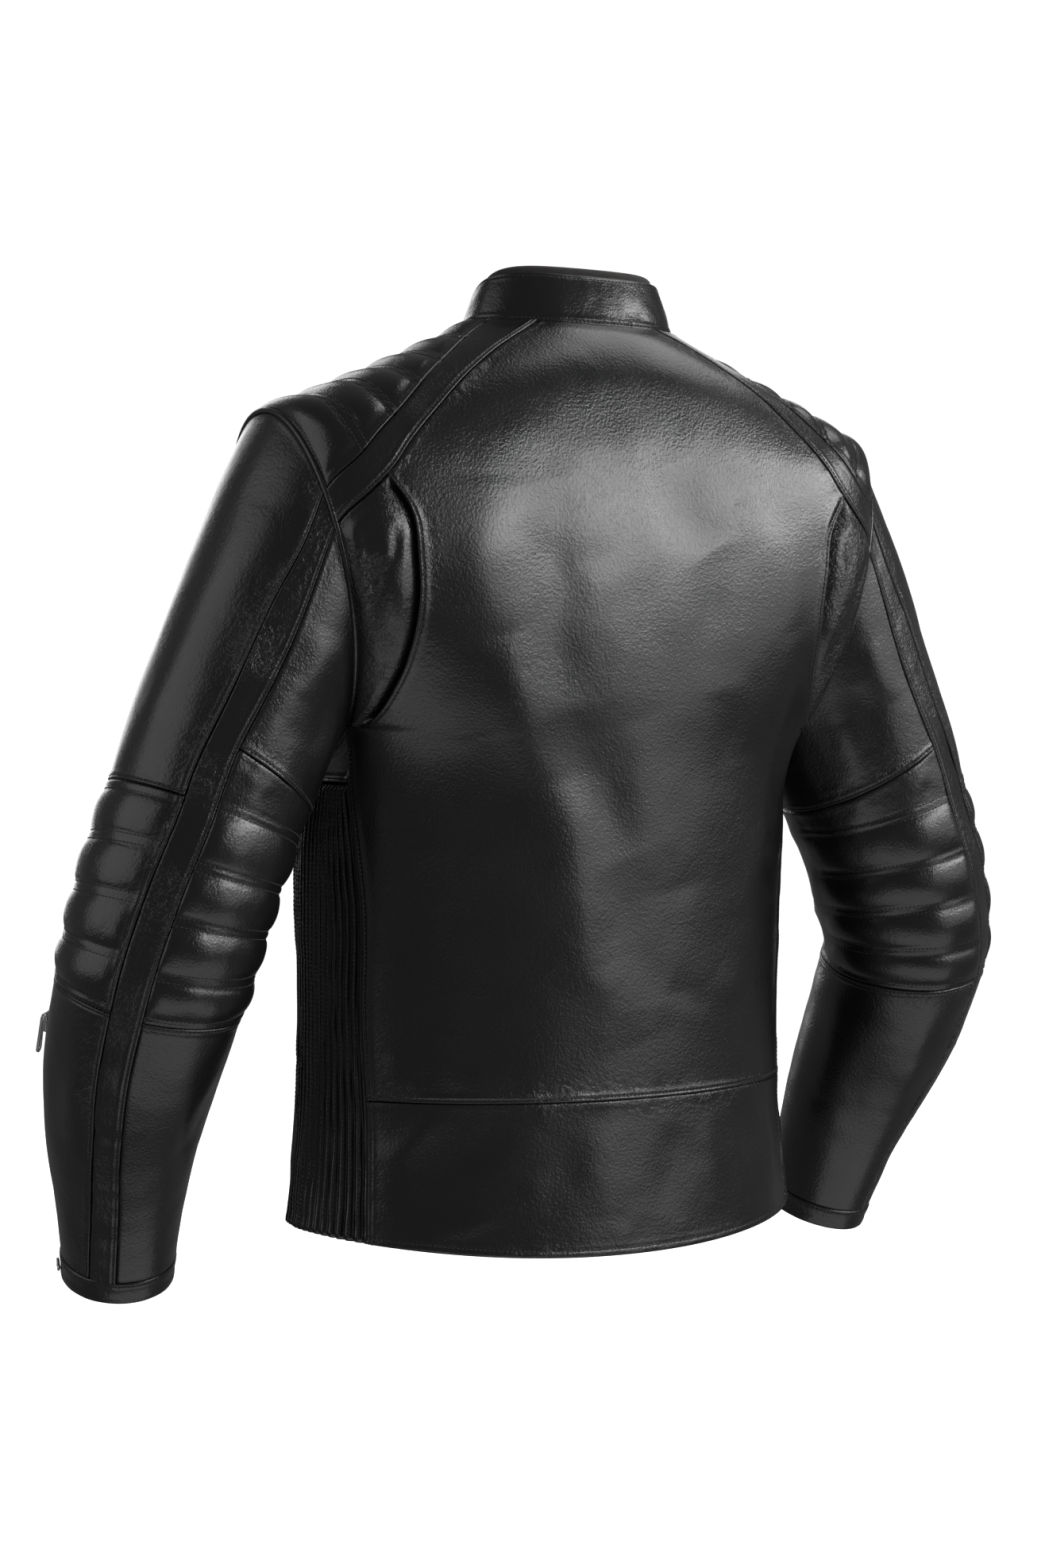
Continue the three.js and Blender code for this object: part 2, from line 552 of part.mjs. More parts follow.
// The panels keep clear of the cuff zip below its top, and meet at the seam above it.
const SLOT_START = 4.85;
const SLOT_OPEN = 5.2;
function besideCuffZip(t) {
  const opened = min(max((t - SLOT_START) / (SLOT_OPEN - SLOT_START), 0), 1);
  return (ZIP_SLOT - SEAM) * sleeveAnglePerMillimetre(t) * opened;
}

// Both halves of the elbow end short of each other in the crease, at the arm's front.
const notch = (phi) => ELBOW_NOTCH * max(0, (-sin(rad(phi)) - 0.5) / 0.5);
const SLEEVE_TOP = 0.03;

// A sleeve panel between two seams, with its elbow end shaped by the crease.
function sleevePanel(first, second, from, to, elbowEnd) {
  const flat = between(sleeve, first, second, from, to);
  const shift = elbowEnd === 'lower' ? -1 : 1;
  return (u, v) => {
    const [phi, t] = flat(u, v);
    const nearElbow = elbowEnd === 'lower' ? v : 1 - v;
    return [phi, t + shift * notch(phi) * nearElbow ** 4];
  };
}

function addSleeves() {
  const upper = (first, second) => sleevePanel(first, second, SLEEVE_TOP, ELBOW, 'lower');
  const lower = (first, second) => sleevePanel(first, second, ELBOW, CUFF_BAND, 'upper');
  const outerZipEdge = (t) => frontSeam(t) + besideCuffZip(t);
  const innerZipEdge = (t) => innerFrontSeam(t) - besideCuffZip(t);

  addPair('sleeve_outer', slab(sleeve, upper(frontSeam, stripeOuter), [7, 8], LEATHER), materials.leather);
  addPair('sleeve_inner', slab(sleeve, upper(stripeInner, innerFrontSeam), [10, 8], LEATHER), materials.leather);
  addPair('sleeve_stripe', slab(sleeve, upper(stripeOuter, stripeInner), [1, 8], LEATHER), materials.leather);
  addPair('forearm_outer', slab(sleeve, lower(outerZipEdge, stripeOuter), [5, 12], LEATHER), materials.leather);
  addPair('forearm_inner', slab(sleeve, lower(stripeInner, innerZipEdge), [10, 12], LEATHER), materials.leather);
  addPair('forearm_stripe', slab(sleeve, lower(stripeOuter, stripeInner), [1, 12], LEATHER), materials.leather);
}

const CUFF_WRAP = 1.2;          // how far the binding stands out from the panels
const CUFF_THICKNESS = 3.4;
const STUD = { radius: 4.8, thickness: 2.4, angle: -20, length: 8.86 };

function addCuffs() {
  const band = (u, v) => {
    const t = lerp(CUFF_BAND, CUFF, v);
    const slot = ZIP_SLOT * sleeveAnglePerMillimetre(t);
    return [lerp(frontSeam(t) + slot, innerFrontSeam(t) - slot, u), t];
  };
  addPair('cuff_binding', slab(sleeve, band, [14, 1], CUFF_THICKNESS, () => CUFF_WRAP), materials.leather);

  const centre = offset(sleeve, STUD.angle, STUD.length, CUFF_WRAP + STUD.thickness / 2 + 0.4);
  addPair('cuff_stud', studGeometry(centre, normalOf(sleeve, STUD.angle, STUD.length)), materials.steel);
}

// A press stud's cap, turned to face along a normal.
function studGeometry(centre, normal) {
  const turn = new THREE.Quaternion().setFromUnitVectors(vec(0, 1, 0), normal);
  const cap = new THREE.CylinderGeometry(STUD.radius * 0.86, STUD.radius, STUD.thickness, 14);
  return cap.applyMatrix4(new THREE.Matrix4().compose(centre, turn, vec(1, 1, 1)));
}

// ---------- inside: linings, armour and fittings ----------

const LINING_TOP = 0.25;
const LINING_BOTTOM = 9.55;
const SHOULDER_LINE = 89;
const LINING_SLOT = 1.5;        // degrees between the linings along the shoulder and sides
const PROTECTOR = { angle: 27, top: 1.9, bottom: 7.5 };
const SHOULDER_ARMOUR = { angle: 52, top: 0.35, bottom: 1.9 };
const ELBOW_ARMOUR = { from: -25, to: 100, top: 4.3, bottom: 6.3 };
const CONNECTION_ZIP = { width: 100, height: 26, thickness: 1.6, y: 83, z: -600 };
const LOOP = { half: 26, sag: 13, width: 7, thickness: 1.2, y: 49.5, z: -14 };

function addInside() {
  const backLining = (half) => (s) => half * (armholeAngle(s, 1) - LINING_SLOT / 2
    - (s < ARMHOLE.height ? 0 : LINING_SLOT / 2));
  add('lining_back', slab(torso, between(torso, backLining(-1), backLining(1), LINING_TOP, LINING_BOTTOM),
    [12, 16], CLOTH, () => -BACK_LINING_DEPTH), materials.lining);
  const frontLining = (s) => armholeAngle(s, -1) + LINING_SLOT;
  addPair('lining_front', slab(torso, between(torso, frontLining, besideFrontZip(2 * ZIP_SLOT),
    LINING_TOP, LINING_BOTTOM), [6, 18], CLOTH, () => -FRONT_LINING_DEPTH), materials.lining);

  const protector = (u, v) => [lerp(-PROTECTOR.angle, PROTECTOR.angle, u),
    lerp(PROTECTOR.top, PROTECTOR.bottom, v)];
  add('back_protector', slab(torso, protector, [6, 8], BACK_PROTECTOR_THICKNESS, () => -FOAM_TOP),
    materials.armour);

  const shoulder = (u, v) => [lerp(-SHOULDER_ARMOUR.angle, SHOULDER_ARMOUR.angle, u),
    lerp(SHOULDER_ARMOUR.top, SHOULDER_ARMOUR.bottom, v)];
  addPair('shoulder_armour', slab(sleeve, shoulder, [7, 5], LIMB_ARMOUR_THICKNESS, () => -FOAM_TOP),
    materials.armour);
  const elbow = (u, v) => [lerp(ELBOW_ARMOUR.from, ELBOW_ARMOUR.to, u),
    lerp(ELBOW_ARMOUR.top, ELBOW_ARMOUR.bottom, v)];
  addPair('elbow_armour', slab(sleeve, elbow, [8, 5], LIMB_ARMOUR_THICKNESS, () => -FOAM_TOP),
    materials.armour);

  // The sleeve lining is a tube: its two long edges stop a hair apart at the front.
  const tube = (u, v) => [lerp(-89.6, 269.6, u), lerp(0.3, ELBOW - 0.1, v)];
  const bent = (u, v) => {
    const [phi, t] = tube(u, v);
    return [phi, t - notch(phi) * v ** 4];
  };
  addPair('sleeve_lining', slab(sleeve, bent, [16, 6], CLOTH, () => -SLEEVE_LINING_DEPTH), materials.lining);

  const connection = new THREE.BoxGeometry(CONNECTION_ZIP.width, CONNECTION_ZIP.thickness,
    CONNECTION_ZIP.height);
  connection.translate(0, CONNECTION_ZIP.y, CONNECTION_ZIP.z);
  add('connection_zip', connection, materials.zipTape);

  const loop = new THREE.BoxGeometry(1, 1, 1, 10, 1, 1);
  const points = loop.attributes.position;
  for (let i = 0; i < points.count; i += 1) {
    const along = 2 * points.getX(i);
    const across = points.getZ(i) * LOOP.width;
    const drop = LOOP.sag * (1 - along ** 4);
    points.setXYZ(i, along * LOOP.half, LOOP.y + points.getY(i) * LOOP.thickness, LOOP.z - drop + across);
  }
  add('hanger_loop', loop, materials.lining);
}

addTorsoPanels();
addCollar();
addZips();
addSleeves();
addCuffs();
addInside();

export default jacket;
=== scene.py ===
"""A black leather riding jacket, hollow as it is worn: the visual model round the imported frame.

Every panel is drawn on one of three forms (torso, sleeve, collar), which repeat the frame's
own design. A panel is a patch of a form, sampled finely and finest along its seams, then raised
and lowered by a height field: rolled edges, stitch grooves, quilting, ribs and folds.
Forms are worked out in millimetres, and the meshes are made in metres.
"""

import math

import bpy
import numpy as np
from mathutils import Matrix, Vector


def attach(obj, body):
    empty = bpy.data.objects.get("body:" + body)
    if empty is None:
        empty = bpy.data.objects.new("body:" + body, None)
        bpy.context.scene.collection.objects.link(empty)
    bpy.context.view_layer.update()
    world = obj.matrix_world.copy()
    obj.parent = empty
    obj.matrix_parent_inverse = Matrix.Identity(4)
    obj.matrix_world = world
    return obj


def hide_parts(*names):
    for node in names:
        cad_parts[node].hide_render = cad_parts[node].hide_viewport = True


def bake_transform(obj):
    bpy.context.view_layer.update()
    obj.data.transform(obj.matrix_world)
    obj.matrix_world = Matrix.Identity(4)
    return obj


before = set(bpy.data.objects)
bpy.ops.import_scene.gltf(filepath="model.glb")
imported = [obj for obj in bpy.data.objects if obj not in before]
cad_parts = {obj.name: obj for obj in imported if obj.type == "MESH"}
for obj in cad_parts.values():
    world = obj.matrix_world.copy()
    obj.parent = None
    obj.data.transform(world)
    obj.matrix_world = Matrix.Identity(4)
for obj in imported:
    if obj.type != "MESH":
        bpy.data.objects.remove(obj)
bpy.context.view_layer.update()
MM = 0.001

# ---------------------------------------------------------------- the design's numbers

# height parameter, half width, back y, front y (None: on the front arc), middle y,
# back z, side z, front z, squareness
TORSO_RINGS = [
    [0.0, 80, 67, -58, 24, -3, -1, -62, 2.0],
    [0.5, 100, 80, None, 20, -12, -12, -82, 2.1],
    [1.2, 150, 96, None, 16, -38, -36, -112, 2.5],
    [2.0, 205, 105, None, 14, -76, -61, -146, 3.2],
    [2.7, 238, 110, None, 10, -118, -82, -178, 4.0],
    [3.3, 240, 113, None, 2, -160, -128, -206, 4.3],
    [4.0, 224, 114, None, -6, -212, -198, -240, 3.8],
    [4.7, 205, 112, None, -12, -265, -256, -276, 2.9],
    [5.3, 194, 108, None, -15, -312, -306, -316, 2.35],
    [6.2, 192, 105, None, -15, -380, -378, -382, 2.1],
    [7.2, 190, 103, None, -15, -455, -453, -456, 2.05],
    [8.6, 190, 102, None, -15, -560, -556, -556, 2.05],
    [9.9, 198, 107, None, -15, -656, -640, -640, 2.05],
]
# length parameter, centre x, y, z, tilt, pitch, outer radius, back radius
SLEEVE_RINGS = [
    [0.0, 211, 3, -189, 14, 0, 118, 84],
    [0.6, 226, 6, -217, 23.6, 0, 100, 80],
    [1.3, 242, 9, -251, 34.6, 0, 86, 75],
    [2.1, 259, 11, -290, 48.5, 0, 75.5, 71],
    [3.0, 281, 13, -343, 68, 1, 68, 68],
    [4.0, 303, 12, -405, 76, 4, 67, 67],
    [4.8, 315, 6, -455, 82, 14, 64, 65],
    [5.6, 318, -20, -505, 88, 26, 61, 62],
    [6.6, 315, -48, -555, 93, 28, 55, 56],
    [7.8, 308, -73, -610, 95, 24, 46, 48],
    [9.0, 301, -95, -674, 96, 20, 38, 40],
]
SLEEVE_LEAN = 0.1
ARMHOLE = (89.0, 21.7, 3.95, 1.34)  # its middle angle, angle radius, height, height radius
ARMHOLE_BLEND = 0.4
FRONT_TOP, FRONT_BOTTOM, FRONT_BULGE = (-72.0, -90.0), (-135.0, -640.0), 25.0
COLLAR_TAPER, COLLAR_LIFT = 0.17, 1.0

# seams: rows of [length parameter, angle]
STRIPE_LOWER = [[0, 53.3], [0.44, 53.6], [0.85, 56.8], [1.33, 58.8], [1.79, 60.3],
                [2.5, 62.3], [2.92, 63.3], [3.19, 64.8], [3.56, 68.2]]
STRIPE_UPPER = [[0, 77.5], [0.46, 74.9], [1.09, 68.8], [1.57, 66.9], [2.08, 66.3],
                [2.52, 66.6], [2.84, 67.3], [3.28, 70.2]]
YOKE_FRONT = [[0, 103], [0.46, 108], [1.1, 111], [1.6, 112.5], [2.1, 113],
              [2.6, 112.5], [2.95, 110.8], [3.24, 107.4]]
GUSSET_EDGE = [[2.92, 63.3], [3.17, 59.3], [3.61, 56.8], [4.03, 56.3], [4.38, 57.8],
               [4.74, 61.8], [5.0, 67.3], [5.11, 71]]
SIDE_BACK = [[5.11, 78.2], [5.57, 77.4], [5.89, 75.4], [6.45, 73.9], [7.84, 73.9],
             [8.43, 72.9], [9.9, 70.8]]
SIDE_FRONT = [[5.11, 99.9], [5.56, 101], [7.2, 104], [9.9, 106]]
SLEEVE_STRIPE_OUTER = [[0, 60], [0.38, 62.5], [1.11, 60.5], [2.24, 57.5], [2.84, 53.5],
                       [3.38, 52.5], [4.02, 48.5], [4.64, 43.8], [5.77, 44.3], [6.39, 46],
                       [7.14, 44.7], [7.95, 41], [9, 35]]
SLEEVE_STRIPE_INNER = [[0, 73], [0.38, 75.5], [0.77, 77.5], [2.01, 76.3], [2.54, 73],
                       [3.38, 71.8], [4.06, 68], [4.64, 63.8], [5.22, 62.8], [6.28, 65.5],
                       [7.03, 66.5], [9, 64]]
SLEEVE_FRONT_SEAM = [[0, -62], [3, -60], [4.5, -52], [5.3, -45], [9, -42]]
HEM, WAIST_SEAM, PATCH_BOTTOM = 9.9, 8.43, 5.56
QUILT_TOP, CUFF_BAND, CUFF = 3.06, 8.72, 9.0
INNER_SEAM = 2.5  # the plain seam above the quilting on the arm's inside
LEATHER = 1.3


# ---------------------------------------------------------------- forms


def rows_at(table, parameter):
    """Smooth curves through a table's columns, at an array of parameters."""
    table = np.asarray(table, float)
    key, value = table[:, 0], table[:, 1:]
    slope = np.gradient(value, key, axis=0)
    p = np.clip(np.asarray(parameter, float), key[0], key[-1])
    i = np.clip(np.searchsorted(key, p, side="right") - 1, 0, len(key) - 2)
    step = (key[i + 1] - key[i])[..., None]
    t = (p - key[i])[..., None] / step
    return ((2 * t**3 - 3 * t**2 + 1) * value[i] + (t**3 - 2 * t**2 + t) * step * slope[i]
            + (3 * t**2 - 2 * t**3) * value[i + 1] + (t**3 - t**2) * step * slope[i + 1])


def seam(table):
    return lambda s: rows_at(table, s)[..., 0]


_chord = math.hypot(FRONT_BOTTOM[0] - FRONT_TOP[0], FRONT_BOTTOM[1] - FRONT_TOP[1])
FRONT_RADIUS = _chord**2 / 8 / FRONT_BULGE + FRONT_BULGE / 2
_inward = (FRONT_RADIUS - FRONT_BULGE) / _chord
FRONT_CENTRE = ((FRONT_TOP[0] + FRONT_BOTTOM[0]) / 2 - (FRONT_BOTTOM[1] - FRONT_TOP[1]) * _inward,
                (FRONT_TOP[1] + FRONT_BOTTOM[1]) / 2 + (FRONT_BOTTOM[0] - FRONT_TOP[0]) * _inward)


def front_y(z):
    return FRONT_CENTRE[0] - math.sqrt(FRONT_RADIUS**2 - (z - FRONT_CENTRE[1]) ** 2)


RINGS = np.array([[s, a, back - mid, mid - (front_y(zf) if front is None else front),
                   mid, zb, zs, zf, n]
                  for s, a, back, front, mid, zb, zs, zf, n in TORSO_RINGS], float)


def sleeve(phi, t):
    x, y, z, tilt, pitch, outer, back = np.moveaxis(rows_at(SLEEVE_RINGS, t), -1, 0)
    tilt, pitch, phi = np.radians(tilt), np.radians(pitch), np.radians(phi)
    out = np.stack([np.sin(tilt), SLEEVE_LEAN * np.cos(tilt), np.cos(tilt)], -1)
    rear = np.stack([0 * tilt, np.cos(pitch), -np.sin(pitch)], -1)
    centre = np.stack([x, y, z], -1)
    return (centre + (outer * np.cos(phi))[..., None] * out
            + (back * np.sin(phi))[..., None] * rear)


def torso_blank(angle, s):
    a, back, front, mid, zb, zs, zf, n = np.moveaxis(rows_at(RINGS, s), -1, 0)
    c, sn = np.cos(np.radians(angle)), np.sin(np.radians(angle))
    b = np.where(c > 0, back, front)
    r = (np.abs(c / b) ** n + np.abs(sn / a) ** n) ** (-1 / n)
    q = (np.abs(r * c) / b) ** n
    z = zs + (np.where(c > 0, zb, zf) - zs) * q
    return np.stack([r * sn, mid + r * c, z], -1)


def armhole_at(phi):
    phi = np.radians(phi)
    return (ARMHOLE[0] - ARMHOLE[1] * np.sin(phi), ARMHOLE[2] - ARMHOLE[3] * np.cos(phi))


def torso(angle, s):
    """The torso, drawn near each armhole onto the sleeve's first ring."""
    angle, s = np.broadcast_arrays(np.asarray(angle, float), np.asarray(s, float))
    p = (ARMHOLE[0] - np.abs(angle)) / ARMHOLE[1]
    q = (ARMHOLE[2] - s) / ARMHOLE[3]
    rho = np.hypot(p, q)
    phi = np.degrees(np.arctan2(p, q))
    weight = np.where(rho > 1, np.exp(-(((rho - 1) / ARMHOLE_BLEND) ** 2)), 1.0)
    shift = (sleeve(phi, 0 * phi) - torso_blank(*armhole_at(phi))) * weight[..., None]
    shift[..., 0] *= np.where(angle < 0, -1, 1)
    return torso_blank(angle, s) + shift


def collar(angle, height):
    base = torso_blank(angle, 0 * np.asarray(height, float))
    narrowing = (1 - COLLAR_TAPER * height / 31)[..., None]
    middle = np.array([0, RINGS[0][4], 0])
    flat = (base - middle) * narrowing + middle
    flat[..., 2] = base[..., 2] + COLLAR_LIFT + height
    return flat


def armhole_angle(s, half):
    c = np.clip((ARMHOLE[2] - s) / ARMHOLE[3], -1, 1)
    return ARMHOLE[0] - half * ARMHOLE[1] * np.sqrt(1 - c * c)


# ---------------------------------------------------------------- vectors, noise and folds


def unit(vectors):
    return vectors / (np.linalg.norm(vectors, axis=-1, keepdims=True) + 1e-12)


def run_along(points, axis=0):
    """The length run along a grid's lines, from 0 at the first point."""
    steps = np.linalg.norm(np.diff(points, axis=axis), axis=-1)
    return np.insert(np.cumsum(steps, axis), 0, 0, axis)


def taken(values, run, at):
    """Rows of values read off at places along their run."""
    return np.stack([np.interp(at, run, values[:, k]) for k in range(3)], -1)


_LATTICE = np.random.default_rng(7).random((64, 64, 64))


def noise(points, size, shift=0.0):
    """Smooth noise from -1 to 1, with cells of that size in millimetres."""
    p = points / size + shift * 17.31 + 1000.0
    i = np.floor(p).astype(int)
    f = p - i
    f = f * f * f * (f * (f * 6 - 15) + 10)
    total = 0.0
    for corner in range(8):
        d = [(corner >> k) & 1 for k in range(3)]
        weight = 1.0
        for k in range(3):
            weight = weight * (f[..., k] if d[k] else 1 - f[..., k])
        total = total + weight * _LATTICE[(i[..., 0] + d[0]) & 63, (i[..., 1] + d[1]) & 63,
                                          (i[..., 2] + d[2]) & 63]
    return 2 * total - 1


def rough(points, size, octaves=3, shift=0.0):
    return sum(noise(points, size / 2**k, shift + 3 * k) / 2**k for k in range(octaves))


def smooth(x, low, high):
    t = np.clip((x - low) / (high - low), 0, 1)
    return t * t * (3 - 2 * t)


def folds(points, table, waviness=9.0, shift=0.0):
    """Soft folds along short lines: rows of (start, end, width, height), in millimetres."""
    wave = np.stack([noise(points, 60, shift + k) for k in range(3)], -1) * waviness
    p = points + wave
    total = np.zeros(points.shape[:-1])
    for start, end, width, height in table:
        a, b = np.asarray(start, float), np.asarray(end, float)
        along = np.clip(((p - a) @ (b - a)) / ((b - a) @ (b - a)), 0, 1)
        distance = np.linalg.norm(p - a - along[..., None] * (b - a), axis=-1)
        ends = np.sin(math.pi * np.clip(along, 0.02, 0.98)) ** 0.7
        total += height * ends * np.exp(-((distance / width) ** 2))
    return total


# ---------------------------------------------------------------- meshes


def mesh_object(name, points, faces, sharp=None):
    """An object from points in millimetres and rows of vertex numbers."""
    mesh = bpy.data.meshes.new(name)
    points = np.asarray(points, np.float64).reshape(-1, 3) * MM
    counts = np.concatenate([np.full(len(f), f.shape[1]) for f in faces])
    loops = np.concatenate([f.ravel() for f in faces])
    mesh.vertices.add(len(points))
    mesh.vertices.foreach_set("co", points.astype(np.float32).ravel())
    mesh.loops.add(len(loops))
    mesh.loops.foreach_set("vertex_index", loops.astype(np.int32))
    mesh.polygons.add(len(counts))
    starts = np.concatenate([[0], np.cumsum(counts)[:-1]])
    mesh.polygons.foreach_set("loop_start", starts.astype(np.int32))
    mesh.update(calc_edges=True)
    mesh.validate()
    mesh.polygons.foreach_set("use_smooth", np.ones(len(mesh.polygons), bool))
    if sharp is not None:
        ends = np.empty(len(mesh.edges) * 2, np.int32)
        mesh.edges.foreach_get("vertices", ends)
        ends = ends.reshape(-1, 2)
        mark = np.isin(ends[:, 0], sharp) & np.isin(ends[:, 1], sharp)
        mesh.attributes.new("sharp_edge", "BOOLEAN", "EDGE").data.foreach_set("value", mark)
    obj = bpy.data.objects.new(name, mesh)
    bpy.context.scene.collection.objects.link(obj)
    return obj


def grid_shell(name, outer, inner, sharp_rim=False):
    """A closed shell between two grids of points of the same size."""
    nu, nv = outer.shape[:2]
    index = np.arange(nu * nv).reshape(nu, nv)
    quads = np.stack([index[:-1, :-1], index[1:, :-1], index[1:, 1:], index[:-1, 1:]], -1)
    quads = quads.reshape(-1, 4)
    rim = np.concatenate([index[:, 0], index[-1, 1:], index[-2::-1, -1], index[0, -2:0:-1]])
    after = np.roll(rim, -1)
    under = nu * nv
    side = np.stack([rim, rim + under, after + under, after], -1)
    faces = [quads, quads[:, ::-1] + under, side]
    middle = (nu // 2, nv // 2)
    a, b = outer[middle], inner[middle]
    across = outer[middle[0] + 1, middle[1]] - a
    along = outer[middle[0], middle[1] + 1] - a
    if np.dot(np.cross(across, along), a - b) < 0:
        faces = [f[:, ::-1] for f in faces]
    sharp = np.concatenate([rim, rim + under]) if sharp_rim else None
    return mesh_object(name, np.concatenate([outer.reshape(-1, 3), inner.reshape(-1, 3)]), faces, sharp)


def graded(length, step, fine_start, fine_end):
    """Places from 0 to 1, close together near a fine end."""
    near = np.array([0, 0.3, 0.6, 0.95, 1.35, 1.8, 2.3, 2.8, 3.3, 3.9, 4.7, 5.8, 7.2, 9.0])
    reach = near[-1] + 0.4
    if length < 2.4 * reach:
        near = near * length / (2.4 * reach)
        reach = near[-1]
    start = near if fine_start else np.array([0.0])
    end = length - near[::-1] if fine_end else np.array([length])
    count = max(2, int(math.ceil((end[0] - start[-1]) / step)))
    middle = np.linspace(start[-1], end[0], count + 1)[1:-1]
    return np.concatenate([start, middle, end]) / length


def corners_patch(west, east, south, north):
    """Maps (u, v) to (angle, length) between four edges, each a function of 0..1."""

    def place(u, v):
        w, e = np.stack(west(v), -1), np.stack(east(v), -1)
        s, n = np.stack(south(u), -1), np.stack(north(u), -1)
        c00, c10 = (np.stack(edge(np.zeros(1)), -1)[0] for edge in (west, east))
        c01, c11 = (np.stack(edge(np.ones(1)), -1)[0] for edge in (west, east))
        u_, v_ = u[..., None], v[..., None]
        lower = (1 - u_) * c00 + u_ * c10
        upper = (1 - u_) * c01 + u_ * c11
        both = (1 - u_) * w + u_ * e + (1 - v_) * (s - lower) + v_ * (n - upper)
        return both[..., 0], both[..., 1]

    return place


def along(table, start, end):
    def edge(w):
        s = start + (end - start) * w
        return seam(table)(s), s
    return edge


def round_armhole(start, end):
    return lambda w: armhole_at(start + (end - start) * w)


def straight(a, b):
    return lambda w: (a[0] + (b[0] - a[0]) * w, a[1] + (b[1] - a[1]) * w)


def level(first, second, s):
    """The straight edge between two seams at one length."""
    return straight((float(seam(first)(s)), s), (float(seam(second)(s)), s))


def between(first, second, start, end):
    """The patch between two lines, each a function that gives the angle at a length."""

    def place(u, v):
        s = start + (end - start) * v
        a, b = first(s), second(s)
        return a + (b - a) * u, s

    return place


STITCH_GROOVE, GROOVE_WIDTH = 0.6, 0.8


def groove(d, distance):
    """How far a row of stitches pulls a panel down."""
    return STITCH_GROOVE * np.exp(-(((d - distance) / GROOVE_WIDTH) ** 2))


def rolled(d, radius):
    """How far a rolled edge drops at a distance from it."""
    return radius * (1 - np.sqrt(1 - np.clip(1 - d / radius, 0, 1) ** 2))


def lapping(d):
    """The height of a panel along an edge that lies on the next panel."""
    return 0.55 * (1 - smooth(d, 3.4, 6.5)) - rolled(d, 1.1)


def lapped(d):
    """The height of a panel along an edge that runs under the next panel."""
    return -1.3 * (1 - smooth(d, 1.5, 3.3)) + 0.25 * np.exp(-(((d - 5.0) / 2.4) ** 2))


def turned(d):
    """The height of a panel along a plain seam."""
    return 0.25 * np.exp(-(((d - 3.0) / 2.0) ** 2)) - rolled(d, 1.5)


def hemmed(d):
    """The height of a panel along a free folded edge."""
    return 0.5 * (1 - smooth(d, 4.5, 8)) - rolled(d, 1.5)


EDGES = {"over": lapping, "under": lapped, "turned": turned, "hem": hemmed}


def widened(places, share):
    """Places from 0 to 1, stretched to run that share past both ends."""
    return places * (1 + 2 * share) - share


def normal_at(form, a, s):
    """The form's outward normal."""
    e = form(np.array([a + 0.4]), np.array([s]))[0] - form(np.array([a - 0.4]), np.array([s]))[0]
    d = form(np.array([a]), np.array([s + 0.02]))[0] - form(np.array([a]), np.array([s - 0.02]))[0]
    return unit(np.cross(e, d)) * (1 if form is torso else -1)


